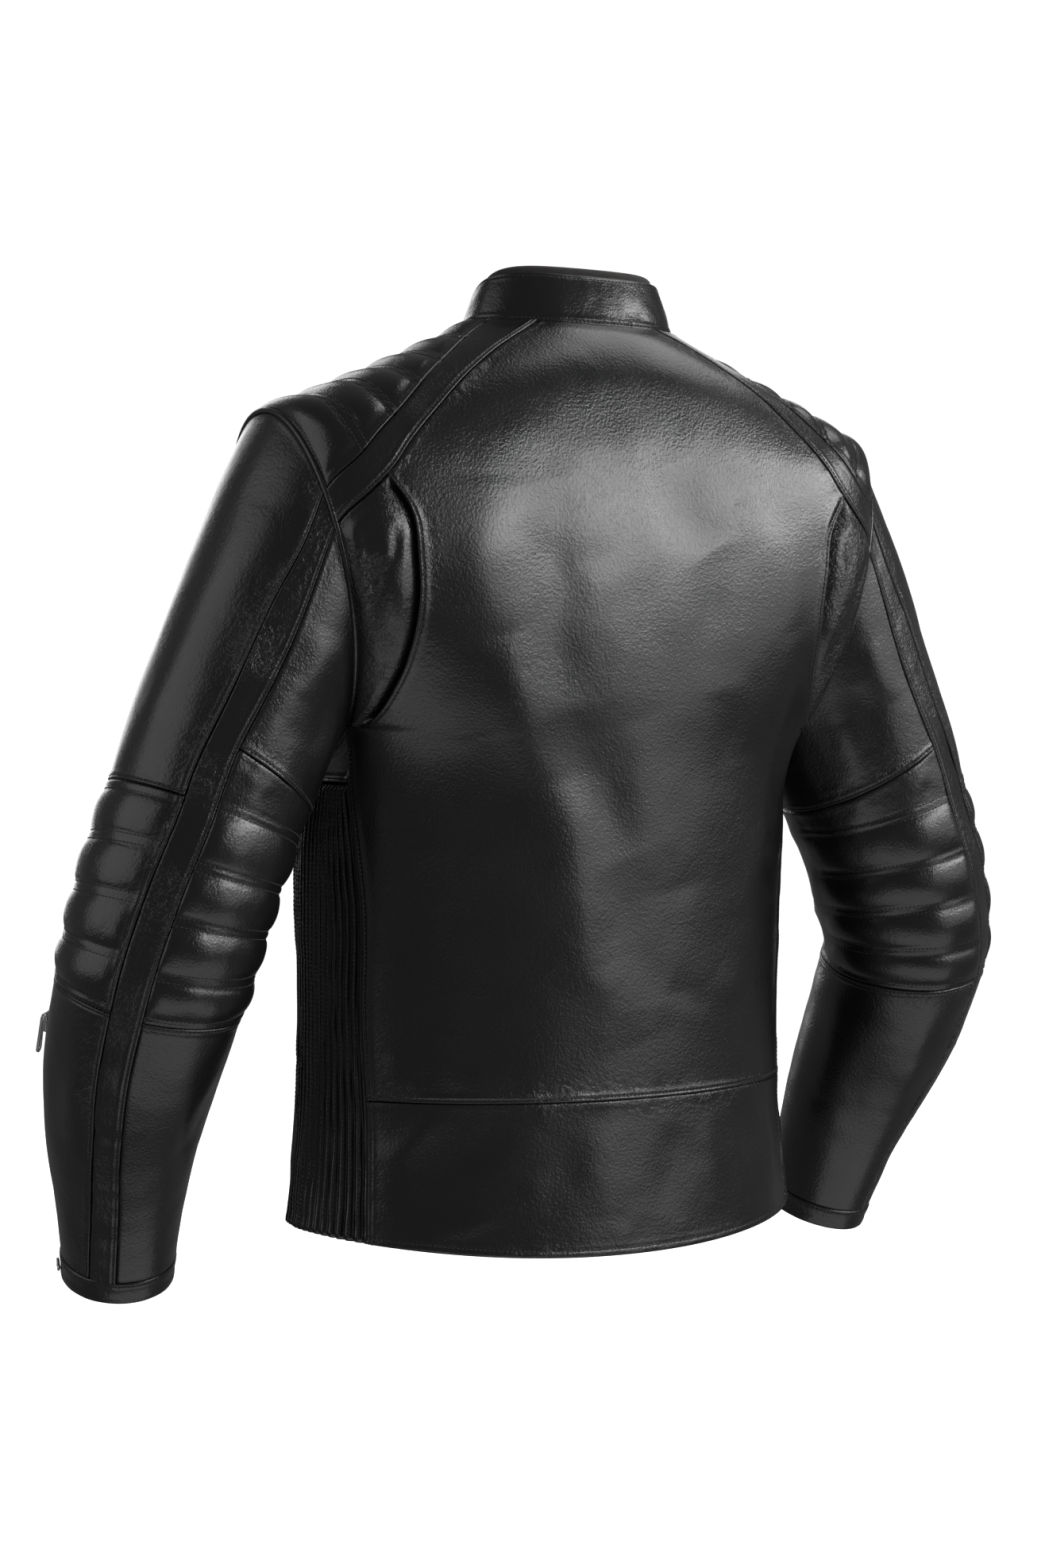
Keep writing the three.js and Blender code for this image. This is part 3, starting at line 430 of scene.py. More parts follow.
class Sheet:
    """A patch of a form: its sampled points, normals and distances to its four edges."""

    def __init__(self, form, place, step=2.6, fine="wesn", side=1, grow=1.0, columns=None):
        """step is the sampling away from the fine edges, and grow how far the sheet runs past
        each edge. columns, where given, are its columns' places from 0 to 1."""
        w = np.linspace(0, 1, 25)
        test = form(*place(*np.meshgrid(w, w, indexing="ij")))
        width, height = run_along(test, 0)[-1].max(), run_along(test, 1)[:, -1].max()
        self.form, self.side, self.rows = form, side, []
        us = graded(width, step, "w" in fine, "e" in fine)
        vs = graded(height, step, "s" in fine, "n" in fine)
        self.lay_out(place, widened(us, grow / width), widened(vs, grow / height))
        if columns is not None:
            even = np.linspace(self.V[0, 0], self.V[0, -1], len(vs))
            self.lay_out(place, widened(columns, grow / np.median(self.d["w"][-1])), even)

    def lay_out(self, place, us, vs):
        """Samples the form at those columns and rows."""
        self.U, self.V = np.meshgrid(us, vs, indexing="ij")
        self.angle, self.length = place(self.U, self.V)
        self.P = self.form(self.angle, self.length)
        normal = unit(np.cross(np.gradient(self.P, axis=0), np.gradient(self.P, axis=1)))
        middle = len(us) // 2, len(vs) // 2
        outward = normal_at(self.form, self.angle[middle], self.length[middle])
        self.N = normal if np.dot(outward, normal[middle]) > 0 else -normal
        run_u, run_v = run_along(self.P, 0), run_along(self.P, 1)
        self.d = {"w": run_u, "e": run_u[-1:] - run_u, "s": run_v, "n": run_v[:, -1:] - run_v}
        self.h = np.zeros(self.P.shape[:2])
        self.crinkle = np.zeros(self.P.shape[:2])

    # edges

    def edge(self, letters, kind, stitch=None):
        """Shapes edges: 'over' laps the next panel, 'under' runs below it, 'turned' is a plain
        seam, 'hem' a free folded edge. stitch is the distance of a row of stitches."""
        for letter in letters:
            self.h += EDGES[kind](self.d[letter])
            if stitch:
                self.stitch(letter, stitch)
        return self

    def stitch(self, letter, distance):
        """A row of stitches along an edge."""
        self.h -= groove(self.d[letter], distance)
        self.rows.append(("edge", letter, distance))

    def quilt(self, marks, puff, gap=3.0, fade="we"):
        """Puffed channels across the sheet, between double rows of stitches at the lengths
        in marks, each a function of u."""
        run = self.d["s"]
        at = []
        for mark in marks:
            target = mark(self.U[:, 0])
            at.append(np.array([np.interp(t, line, r)
                                for t, line, r in zip(target, self.length, run)]))
            self.rows += [("length", mark, -gap), ("length", mark, gap)]
        sides = np.ones_like(run)
        for letter in fade:
            sides *= smooth(self.d[letter], -3.0, 11.0)
        for k, centre in enumerate(at):
            c = centre[:, None]
            bead = np.clip(1 - ((run - c) / gap) ** 2, 0, 1)
            self.h += 0.45 * bead - 0.55 * np.exp(-(((np.abs(run - c) - gap) / 0.9) ** 2))
            if k + 1 < len(at):
                c2 = at[k + 1][:, None]
                x = np.clip((run - c - gap) / (c2 - c - 2 * gap), 0, 1)
                self.h += puff * sides * np.sin(math.pi * x) ** 0.7
        return self

    def surface(self, thickness=LEATHER):
        outer = self.P + self.N * self.h[..., None]
        return outer, outer - self.N * thickness

    # stitches

    def sample(self, values, u_index, v_index):
        i = np.clip(np.floor(u_index).astype(int), 0, values.shape[0] - 2)
        j = np.clip(np.floor(v_index).astype(int), 0, values.shape[1] - 2)
        a, b = (u_index - i)[:, None], (v_index - j)[:, None]
        return ((1 - a) * (1 - b) * values[i, j] + a * (1 - b) * values[i + 1, j]
                + (1 - a) * b * values[i, j + 1] + a * b * values[i + 1, j + 1])

    def row(self, kind, what, distance):
        """Grid places (u index, v index) of a row of stitches."""
        count_u, count_v = self.h.shape
        all_u, all_v = np.arange(count_u, dtype=float), np.arange(count_v, dtype=float)
        run = self.d["s"]
        if kind in ("edge", "edge from"):
            d = self.d[what]
            reach = distance if kind == "edge" else distance[0]
            forward = slice(None) if what in "ws" else slice(None, None, -1)
            if what in "we":
                u = np.array([np.interp(reach, d[forward, j], all_u[forward])
                              for j in range(count_v)])
                places = u, all_v
            else:
                v = np.array([np.interp(reach, d[i, forward], all_v[forward])
                              for i in range(count_u)])
                places = all_u, v
            if kind == "edge from":
                keep = self.sample(self.length[..., None], *places)[:, 0] > distance[1]
                places = places[0][keep], places[1][keep]
            return places
        if kind == "column":
            total = run * 0 + self.d["w"] + self.d["e"]
            return np.array([np.interp(what * total[0, j], self.d["w"][:, j], all_u)
                             for j in range(count_v)]), all_v
        if kind == "share":
            centre = what * (run + self.d["n"])[:, 0]
        else:
            target = what(self.U[:, 0])
            centre = np.array([np.interp(t, line, r)
                               for t, line, r in zip(target, self.length, run)])
        offset = distance[0] if kind == "length to" else distance
        v = np.array([np.interp(c + offset, run[i], all_v) for i, c in enumerate(centre)])
        keep = slice(3, -3)
        if kind == "length to":
            keep = np.arange(count_u)[3:-3][self.angle[3:-3, 0] < distance[1]]
        return all_u[keep], v[keep]

    def lines(self):
        """The stitch rows as (points, normals) along the outer face."""
        outer, _ = self.surface()
        for kind, what, distance in self.rows:
            places = self.row(kind, what, distance)
            yield self.sample(outer, *places), self.sample(self.N, *places)

    def panel(self, name, thickness=LEATHER, sharp_rim=False):
        outer, inner = self.surface(thickness)
        flip = [self.side, 1, 1]
        obj = grid_shell(name, outer * flip, inner * flip, sharp_rim)
        crinkle = np.tile(np.clip(self.crinkle, 0, 1).ravel(), 2)
        obj.data.attributes.new("crinkle", "FLOAT", "POINT").data.foreach_set("value", crinkle)
        return obj

    def stitches(self, name):
        lines = [(p * [self.side, 1, 1], n * [self.side, 1, 1]) for p, n in self.lines()]
        return stitch_object(name, lines) if lines else None


STITCH_PITCH, STITCH_LENGTH, STITCH_RADIUS, STITCH_LIFT = 3.1, 2.3, 0.42, 0.12
STITCH_SIDES = 6


def stitch_shape():
    """One rounded capsule along x: its points, and its quads and end faces."""
    angles = np.arange(STITCH_SIDES) * 2 * math.pi / STITCH_SIDES
    rings = [(-0.5, 0.25), (-0.36, 0.95), (0.36, 0.95), (0.5, 0.25)]
    points = np.array([[x * STITCH_LENGTH, r * STITCH_RADIUS * math.cos(a),
                        r * STITCH_RADIUS * math.sin(a)] for x, r in rings for a in angles])
    index = np.arange(len(points)).reshape(len(rings), STITCH_SIDES)
    around = np.roll(index, -1, 1)
    quads = np.stack([index[1:], around[1:], around[:-1], index[:-1]], -1).reshape(-1, 4)
    caps = np.stack([np.roll(index[0], -1), index[-1, ::-1]])
    return points, quads, caps


def stitch_object(name, lines):
    """Thread along lines: one short rounded capsule for each stitch."""
    shape, quads, caps = stitch_shape()
    places, normals, tangents = [], [], []
    for points, normal in lines:
        run = run_along(points)
        count = int(run[-1] // STITCH_PITCH)
        if count < 1:
            continue
        at = (np.arange(count) + 0.5) * run[-1] / count
        places.append(taken(points, run, at))
        tangents.append(taken(points, run, at + 0.8) - taken(points, run, at - 0.8))
        normals.append(taken(normal, run, at))
    place, tangent, normal = (np.concatenate(x) for x in (places, tangents, normals))
    tangent = unit(tangent)
    normal = unit(normal - tangent * np.sum(normal * tangent, 1, keepdims=True))
    side = np.cross(normal, tangent)
    place = place + normal * STITCH_LIFT
    points = (place[:, None] + shape[None, :, :1] * tangent[:, None]
              + shape[None, :, 1:2] * side[:, None] + shape[None, :, 2:] * normal[:, None])
    offset = (np.arange(len(place)) * len(shape))[:, None, None]
    faces = [(quads[None] + offset).reshape(-1, 4),
             (caps[None] + offset).reshape(-1, STITCH_SIDES)]
    return mesh_object(name, points, faces)


# ---------------------------------------------------------------- materials


class Nodes:
    """A short way to build a material's node tree."""

    def __init__(self, name):
        self.material = bpy.data.materials.new(name)
        self.material.use_nodes = True
        self.tree = self.material.node_tree
        self.shader = self.tree.nodes["Principled BSDF"]
        self.place = self.add("ShaderNodeTexCoord").outputs["Object"]

    def add(self, kind, inputs=(), **settings):
        node = self.tree.nodes.new(kind)
        for key, value in settings.items():
            setattr(node, key, value)
        for key, value in dict(inputs).items():
            if isinstance(value, bpy.types.NodeSocket):
                self.tree.links.new(value, node.inputs[key])
            else:
                node.inputs[key].default_value = value
        return node

    def set(self, **values):
        for key, value in values.items():
            socket = self.shader.inputs[key.replace("_", " ")]
            if isinstance(value, bpy.types.NodeSocket):
                self.tree.links.new(value, socket)
            else:
                socket.default_value = value

    def noise(self, scale, detail=2.0, roughness=0.5, place=None):
        inputs = {"Vector": place or self.place, "Scale": scale, "Detail": detail,
                  "Roughness": roughness}
        return self.add("ShaderNodeTexNoise", inputs).outputs[0]

    def cells(self, scale, feature="F1", place=None):
        inputs = {"Vector": place or self.place, "Scale": scale}
        return self.add("ShaderNodeTexVoronoi", inputs, feature=feature).outputs[0]

    def math(self, operation, a, b=0.0):
        return self.add("ShaderNodeMath", {0: a, 1: b}, operation=operation).outputs[0]

    def ramp(self, value, low, high, start=0.0, end=1.0):
        return self.add("ShaderNodeMapRange", {0: value, 1: low, 2: high, 3: start, 4: end},
                        interpolation_type="SMOOTHSTEP").outputs[0]

    def contour(self, value, width):
        """1 along the lines where the value is a half, falling to 0 beside them."""
        away = self.math("ABSOLUTE", self.math("SUBTRACT", value, 0.5))
        return self.ramp(away, 0.0, width, 1.0, 0.0)

    def warped(self, scale, amount):
        """Places shifted about by noise of that scale."""
        noise_inputs = {"Vector": self.place, "Scale": scale, "Detail": 1.0}
        shift = self.add("ShaderNodeTexNoise", noise_inputs).outputs["Color"]
        small = self.add("ShaderNodeVectorMath", {0: shift, "Scale": amount}, operation="SCALE")
        both = {0: self.place, 1: small.outputs[0]}
        return self.add("ShaderNodeVectorMath", both, operation="ADD").outputs[0]

    def stretched(self, x, y, z):
        return self.add("ShaderNodeMapping", {"Vector": self.place, "Scale": (x, y, z)}).outputs[0]

    def bumps(self, *layers):
        """Layers of (height, depth in metres) on top of each other."""
        normal = None
        for height, depth in layers:
            node = self.add("ShaderNodeBump", {"Height": height, "Distance": depth, "Strength": 1.0})
            if normal is not None:
                self.tree.links.new(normal, node.inputs["Normal"])
            normal = node.outputs["Normal"]
        self.tree.links.new(normal, self.shader.inputs["Normal"])

    def colour(self, factor, dark, light):
        mix = self.add("ShaderNodeMix", data_type="RGBA")
        mix.inputs["A"].default_value = (*dark, 1)
        mix.inputs["B"].default_value = (*light, 1)
        self.tree.links.new(factor, mix.inputs["Factor"])
        return mix.outputs["Result"]


def leather_material(name, shine=0.27, grain=1.0, dark=(0.005, 0.005, 0.0055),
                     light=(0.0095, 0.0095, 0.0102)):
    """Smooth hide: shine is its roughness, and grain scales its pebbles and creases."""
    n = Nodes(name)
    pebbles = n.cells(640.0, "SMOOTH_F1", n.warped(300.0, 0.0006))
    orange_peel = n.noise(460.0, 3.0, 0.6, n.warped(30.0, 0.004))
    crumple = n.noise(120.0, 4.0, 0.62, n.warped(60.0, 0.006))
    crumple_zone = n.ramp(n.noise(8.0, 2.0, 0.5, n.stretched(1.0, 1.0, 0.6)), 0.5, 0.72)
    crumpled = n.math("MULTIPLY", crumple, crumple_zone)
    crease_zone = n.ramp(n.noise(11.0, 2.0), 0.5, 0.68)
    long_lines = n.contour(n.noise(26.0, 3.0, 0.55, n.warped(14.0, 0.03)), 0.007)
    long_creases = n.math("MULTIPLY", long_lines, crease_zone)
    short_lines = n.contour(n.noise(90.0, 3.0, 0.6), 0.02)
    short_creases = n.math("MULTIPLY", short_lines, crumple_zone)
    near_seam = n.add("ShaderNodeAttribute", attribute_name="crinkle").outputs["Fac"]
    crinkle_lines = n.contour(n.noise(120.0, 4.0, 0.65, n.warped(50.0, 0.008)), 0.16)
    crinkle = n.math("MULTIPLY", crinkle_lines, near_seam)
    fine_crinkle = n.math("MULTIPLY", n.noise(330.0, 3.0, 0.6), near_seam)
    n.set(Base_Color=n.colour(n.noise(14.0, 4.0, 0.6), dark, light),
          Roughness=n.ramp(n.noise(22.0, 4.0), 0.2, 0.8, shine - 0.04, shine + 0.04))
    n.set(Coat_Weight=0.2, Coat_Roughness=0.2, Specular_IOR_Level=0.5)
    n.bumps((orange_peel, 0.00026 * grain), (pebbles, 0.00014 * grain),
            (crumpled, 0.00045 * grain), (long_creases, -0.00003 * grain),
            (short_creases, -0.00004 * grain), (crinkle, -0.0006), (fine_crinkle, 0.0005))
    return n.material


def thread_material():
    n = Nodes("polyester_thread")
    wave_inputs = {"Vector": n.place, "Scale": 900.0, "Distortion": 1.5}
    twist = n.add("ShaderNodeTexWave", wave_inputs).outputs[0]
    tone = n.colour(n.noise(60.0), (0.008, 0.008, 0.009), (0.018, 0.018, 0.02))
    n.set(Base_Color=tone, Roughness=0.5)
    n.set(Sheen_Weight=0.25, Sheen_Roughness=0.4)
    n.bumps((twist, 0.0001))
    return n.material


def cloth_material(name, dark, light, weave=1100.0, roughness=0.85, sheen=0.3):
    n = Nodes(name)
    wave_inputs = {"Vector": n.place, "Scale": weave * 0.3, "Distortion": 0.6}
    warp = n.add("ShaderNodeTexWave", wave_inputs, bands_direction="X").outputs[0]
    weft = n.add("ShaderNodeTexWave", wave_inputs, bands_direction="Z").outputs[0]
    weave_height = n.math("MAXIMUM", warp, weft)
    tone = n.math("MULTIPLY", weave_height, n.noise(40.0, 3.0))
    n.set(Base_Color=n.colour(tone, dark, light), Roughness=roughness)
    n.set(Sheen_Weight=sheen, Sheen_Roughness=0.5)
    n.bumps((weave_height, 0.00018), (n.noise(55.0, 3.0), 0.0006))
    return n.material


def metal_material():
    n = Nodes("nickel_plate")
    wear = n.noise(160.0, 4.0, 0.6)
    n.set(Base_Color=n.colour(wear, (0.42, 0.42, 0.43), (0.66, 0.66, 0.67)),
          Roughness=n.ramp(n.noise(400.0, 3.0), 0.2, 0.8, 0.2, 0.36))
    n.set(Metallic=1.0)
    n.bumps((n.noise(900.0, 2.0, 0.5, n.stretched(1, 1, 0.1)), 0.00003))
    return n.material


def foam_material():
    n = Nodes("armour_foam")
    pores = n.cells(900.0)
    n.set(Base_Color=n.colour(pores, (0.05, 0.052, 0.056), (0.022, 0.023, 0.025)), Roughness=0.8)
    n.bumps((pores, 0.00015), (n.noise(120.0, 3.0), 0.0003))
    return n.material


SKIN = leather_material("black_cowhide")
# The ribs' leather is a darker copy of the hide. Its darker base colour is painted shade between the ribs;
# its roughness and grain are its own.
SKIN_RIBS_PAINTED_SHADE = leather_material("ribbed_stretch_leather", shine=0.24, grain=0.6,
                             dark=(0.002, 0.002, 0.0022), light=(0.0045, 0.0045, 0.005))
SKIN_TRIM = leather_material("collar_cowhide", shine=0.26, grain=0.8)
THREAD = thread_material()
NEOPRENE = cloth_material("collar_neoprene", (0.012, 0.010, 0.009), (0.026, 0.022, 0.020),
                          1500.0)
LINING = cloth_material("lining_cloth", (0.010, 0.010, 0.011), (0.030, 0.030, 0.032),
                        900.0, 0.6, 0.4)
TAPE = cloth_material("zip_tape_weave", (0.010, 0.010, 0.010), (0.022, 0.022, 0.022),
                      1300.0, 0.8, 0.15)
STEEL = metal_material()
FOAM = foam_material()

# ---------------------------------------------------------------- pieces

SHOULDER_START, SHOULDER_END = (0.211, 0.003, -0.189), (0.2787, 0.0062, -0.2066)
ELBOW_START, ELBOW_END = (0.282, 0.013, -0.347), (0.316, -0.001, -0.469)


def mirrored(point, side):
    return (point[0] * side, point[1], point[2])


def hold_of(kind, suffix, side):
    """The hold for a piece: one body, or for a piece over the shoulder or the elbow, the two bodies with a
    start and an end point.
    """
    if kind == "shoulder":
        start, end = mirrored(SHOULDER_START, side), mirrored(SHOULDER_END, side)
        return ("torso", f"sleeve_{suffix}", start, end)
    if kind == "elbow":
        start, end = mirrored(ELBOW_START, side), mirrored(ELBOW_END, side)
        return (f"sleeve_{suffix}", f"forearm_{suffix}", start, end)
    return (kind,)


def finish_piece(obj, material, hold, nodes=()):
    obj.data.materials.append(material)
    if len(hold) == 4:
        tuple(hold[2])
        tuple(hold[3])
        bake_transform(obj)
    else:
        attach(obj, hold[0])
    if nodes:
        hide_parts(*nodes)
    return obj


def make(name, sheet, hold, nodes=(), material=None,
         thickness=LEATHER, sharp_rim=False):
    """A panel with its rows of stitches."""
    panel = sheet.panel(name, thickness, sharp_rim)
    obj = finish_piece(panel, material or SKIN, hold, nodes)
    thread = sheet.stitches(f"{name}_stitches")
    if thread:
        finish_piece(thread, THREAD, hold)
    return obj


def cut_flat(sheet):
    """Works out the width, length and area that a lining's own surface takes when cut flat; nothing uses
    them.
    """
    points, _ = sheet.surface()
    points = points * MM
    across, down = np.diff(points, axis=0), np.diff(points, axis=1)
    width = np.linalg.norm(across, axis=-1).sum(0).max()
    length = np.linalg.norm(down, axis=-1).sum(1).max()
    area = np.linalg.norm(np.cross(across[:, :-1], down[:-1]), axis=-1).sum()


def soften(sheet, height=0.35, size=38.0, shift=0.0):
    """The slight unevenness of hide that has been worn."""
    sheet.h += height * rough(sheet.P, size, 3, shift + (0 if sheet.side > 0 else 11))
    return sheet


def pucker(sheet, letters, height=0.3, pitch=8.0, reach=10.0, shift=0.0):
    """Short creases that run out from a sewn edge."""
    for letter in letters:
        d = sheet.d[letter]
        other = sheet.d["s"] if letter in "we" else sheet.d["w"]
        where = np.stack([other, d / 3.5, np.full_like(d, 5.0 * ord(letter))], -1)
        ripple = noise(where, pitch, shift + (0 if sheet.side > 0 else 7))
        patchy = np.clip(0.35 + noise(where, pitch * 9, shift + 3), 0, 1.2)
        near = smooth(d, 0.5, 3.0) * np.exp(-((d / reach) ** 2))
        sheet.h += height * ripple * patchy * near
        creased = np.clip(0.45 + 1.1 * noise(sheet.P, 34.0, shift + 5), 0, 1.3)
        sheet.crinkle += 2.2 * height * creased * near
    return sheet


def fold(sheet, form, table, waviness=6.0, shift=0.0):
    """Folds between places given as (angle, length) on the form, with their width and height."""
    rows = []
    for a0, s0, a1, s1, width, height in table:
        start, end = form(np.array([a0, a1], float), np.array([s0, s1], float))
        rows.append((start, end, width, height))
    sheet.h += folds(sheet.P, rows, waviness, shift)
    return sheet


def back_edge(s):
    stripe, gusset, side = seam(STRIPE_LOWER)(s), seam(GUSSET_EDGE)(s), seam(SIDE_BACK)(s)
    below = np.where(s < GUSSET_EDGE[-1][0], gusset, side)
    return np.where(s < GUSSET_EDGE[0][0], stripe, below)


def front_edge(s):
    yoke, hole, side = seam(YOKE_FRONT)(s), armhole_angle(s, -1), seam(SIDE_FRONT)(s)
    below = np.where(s < SIDE_FRONT[0][0], hole, side)
    return np.where(s < YOKE_FRONT[-1][0], yoke, below)


def beside_zip(distance):
    return lambda s: 180 - np.degrees(np.arctan2(distance, rows_at(RINGS, s)[..., 2]))


NECK = 0.03

# folds: angle and length at the start, angle and length at the end, width, height
BACK_FOLDS = [
    (51, 2.7, 43, 4.2, 26, 2.4), (43, 4.2, 30, 5.6, 26, 3.0), (30, 5.6, 12, 7.2, 26, 2.8),
    (12, 7.0, -2, 8.0, 30, 1.2),
    (38, 2.7, 21, 4.8, 22, -2.6), (21, 4.8, 3, 6.3, 24, -2.4), (3, 6.2, -8, 7.6, 26, -1.3),
    (14, 3.4, 0, 4.9, 26, 1.4), (0, 4.9, -16, 6.6, 26, 1.4), (-20, 6.5, -26, 7.4, 26, 0.7),
    (-17, 2.5, -29, 3.4, 20, -1.7), (-29, 3.3, -32, 4.7, 20, -2.0), (-32, 4.6, -39, 5.4, 20, -1.3),
    (-45, 2.8, -49, 4.2, 20, 1.5), (-49, 4.1, -55, 5.9, 20, 1.6), (-55, 5.8, -47, 6.8, 20, 1.2),
    (-52, 3.5, -64, 5.2, 16, -1.5), (-36, 7.2, -48, 7.6, 16, 0.8), (-16, 7.3, -34, 7.6, 14, -0.6),
    (29, 6.9, 10, 7.5, 16, 0.8), (60, 7.7, 52, 8.3, 10, 1.3),
    (68, 8.0, 64, 8.35, 7, 1.0), (48, 8.0, 45, 8.35, 10, 0.9),
]
WAIST_FOLDS = [
    (68, 9.15, 54, 8.5, 10, 1.6), (64, 9.6, 38, 8.6, 13, -1.4), (58, 9.4, 30, 8.6, 12, 1.2),
    (60, 9.75, 36, 9.5, 8, 1.3),
    (30, 9.6, 20, 8.7, 14, -0.9), (8, 9.6, 6, 8.6, 18, 0.9), (-12, 9.6, -20, 8.7, 16, -0.9),
    (-36, 9.6, -34, 8.6, 14, 1.1), (-52, 9.4, -48, 8.6, 10, -1.1), (-62, 9.6, -60, 8.6, 9, 1.0),
]
GUSSET_FOLDS = [
    (62.5, 3.35, 60.5, 4.3, 6, 1.6), (65, 3.6, 62.5, 4.5, 5, -1.6), (67.5, 3.7, 65.5, 4.6, 6, 1.3),
    (60, 3.3, 61.5, 3.9, 4, -1.4), (62, 4.0, 66, 4.7, 5, 1.2), (66, 3.5, 64.5, 4.0, 4, 1.6),
    (69, 3.8, 66.5, 4.4, 4, -1.2), (60, 4.2, 63, 4.75, 5, -1.2),
]
FRONT_FOLDS = [
    (120, 4.2, 150, 5.6, 20, 2.0), (118, 4.9, 140, 6.4, 16, -1.8), (112, 5.6, 128, 7.6, 18, 1.8),
    (150, 2.6, 140, 4.4, 22, 1.4), (165, 5.0, 160, 7.5, 20, -1.2), (120, 8.6, 140, 9.3, 14, 1.2),
]
LAP = 3.0  # from a lapped edge to its stitches


def make_back():
    hold = ("torso",)
    back = Sheet(torso, between(lambda s: -back_edge(s), back_edge, NECK, WAIST_SEAM), step=3.0)
    soften(back, 0.5, 70.0)
    fold(back, torso, BACK_FOLDS, 9.0)
    back.edge("s", "under").edge("n", "over", 2.4)
    shade_back_edges(back)
    pucker(back, "we", 0.35, 8.0, 12.0)
    pucker(back, "n", 0.4, 9.0, 12.0)
    make("back_leather", back, hold, ["back_panel"])

    waist = Sheet(torso, between(lambda s: -back_edge(s), back_edge, WAIST_SEAM, HEM), step=2.8)
    soften(waist, 0.5, 50.0, 2.0)
    fold(waist, torso, WAIST_FOLDS, 7.0)
    waist.edge("s", "under").edge("n", "hem", 4.6).edge("we", "over", LAP)
    pucker(waist, "we", 0.4, 8.0, 14.0)
    pucker(waist, "s", 0.35, 9.0, 12.0)
    pucker(waist, "n", 0.2, 9.0, 10.0)
    make("waist_leather", waist, hold, ["back_waist_panel"])


def shade_back_edges(back):
    """The back panel goes under the stripes, and laps over the gussets and the sides."""
    start = GUSSET_EDGE[0][0]
    for letter in "we":
        d = back.d[letter]
        below = smooth(back.length, start - 0.1, start + 0.12)
        over = 1.1 * (1 - smooth(d, 3.6, 8.5)) - rolled(d, 1.5) - groove(d, LAP)
        back.h += (1 - below) * lapped(d) + below * over
        back.rows.append(("edge from", letter, (LAP, start + 0.06)))


def make_torso_side(suffix, side):
    hold = ("torso",)
    sh = 0.0 if side > 0 else 5.0  # where this side's noise is taken from
    low_end, high_end = STRIPE_LOWER[-1][0], STRIPE_UPPER[-1][0]

    stripe = Sheet(torso, corners_patch(
        along(STRIPE_LOWER, NECK, low_end), along(STRIPE_UPPER, NECK, high_end),
        level(STRIPE_LOWER, STRIPE_UPPER, NECK), round_armhole(73, 60)), step=2.2, side=side)
    soften(stripe, 0.25, 24.0, 1 + sh)
    stripe.h += 0.3
    stripe.edge("w", "over", 2.6).edge("esn", "under")
    pucker(stripe, "w", 0.18, 7.0, 8.0, sh)
    make(f"shoulder_stripe_leather_{suffix}", stripe, hold, [f"shoulder_stripe_{suffix}"])

    pad = Sheet(torso, corners_patch(
        along(STRIPE_UPPER, NECK, high_end), along(YOKE_FRONT, NECK, YOKE_FRONT[-1][0]),
        level(STRIPE_UPPER, YOKE_FRONT, NECK), round_armhole(60, -58)), step=2.2, side=side)
    soften(pad, 0.14, 40.0, 2 + sh)
    pad_channels(pad)
    pad.edge("w", "over").edge("e", "over", 2.6).edge("s", "under").edge("n", "turned", 5.2)
    make(f"shoulder_pad_leather_{suffix}", pad, hold, [f"shoulder_pad_{suffix}"])

    make_gusset(suffix, side, sh)

    patch = Sheet(torso, corners_patch(
        along(SIDE_BACK, SIDE_BACK[0][0], PATCH_BOTTOM), along(SIDE_FRONT, SIDE_FRONT[0][0], PATCH_BOTTOM),
        round_armhole(150, 210), level(SIDE_BACK, SIDE_FRONT, PATCH_BOTTOM)), step=2.4, side=side)
    soften(patch, 0.3, 30.0, 4 + sh)
    recess = smooth(patch.d["w"], 2, 10) * smooth(patch.d["n"], 0, 10) * smooth(patch.d["s"], 2, 10)
    patch.h -= 5.5 * recess
    patch.edge("we", "under").edge("s", "turned", 4.6).edge("n", "over", 2.6)
    make(f"underarm_leather_{suffix}", patch, hold, [f"underarm_patch_{suffix}"])

    make_ribs(suffix, side, sh)

    front = Sheet(torso, between(front_edge, beside_zip(5.2), NECK, HEM), step=3.0, side=side)
    soften(front, 0.5, 60.0, 6 + sh)
    fold(front, torso, FRONT_FOLDS, 8.0, sh)
    shade_front(front)
    make(f"front_leather_{suffix}", front, hold, [f"front_panel_{suffix}"])


def make_gusset(suffix, side, sh):
    """The crumpled gusset between the back and the armhole, sunk under the back's edge."""
    start, end = GUSSET_EDGE[0][0], GUSSET_EDGE[-1][0]
    gusset = Sheet(torso, corners_patch(
        along(GUSSET_EDGE, start, end), round_armhole(73, 150),
        along(STRIPE_LOWER, start, STRIPE_LOWER[-1][0]),
        straight((GUSSET_EDGE[-1][1], end), armhole_at(150))), step=2.0, side=side)
    soften(gusset, 0.4, 30.0, 3 + sh)
    w, e, s, n = (gusset.d[letter] for letter in "wesn")
    gusset.h += 3.2 * smooth(w, 4, 17) * smooth(e, 2, 14) * smooth(s, 2, 16)
    gusset.h -= 4.2 * (1 - smooth(w, 0.5, 10)) * smooth(s, 1, 12) * smooth(n, 1, 12)
    fold(gusset, torso, GUSSET_FOLDS, 5.0, sh)
    gusset.crinkle += np.clip(0.5 + noise(gusset.P, 26.0, 4 + sh), 0, 1)
    gusset.edge("sn", "under").edge("e", "turned", 4.6)
    make(f"gusset_leather_{suffix}", gusset, ("torso",), [f"action_gusset_{suffix}"])


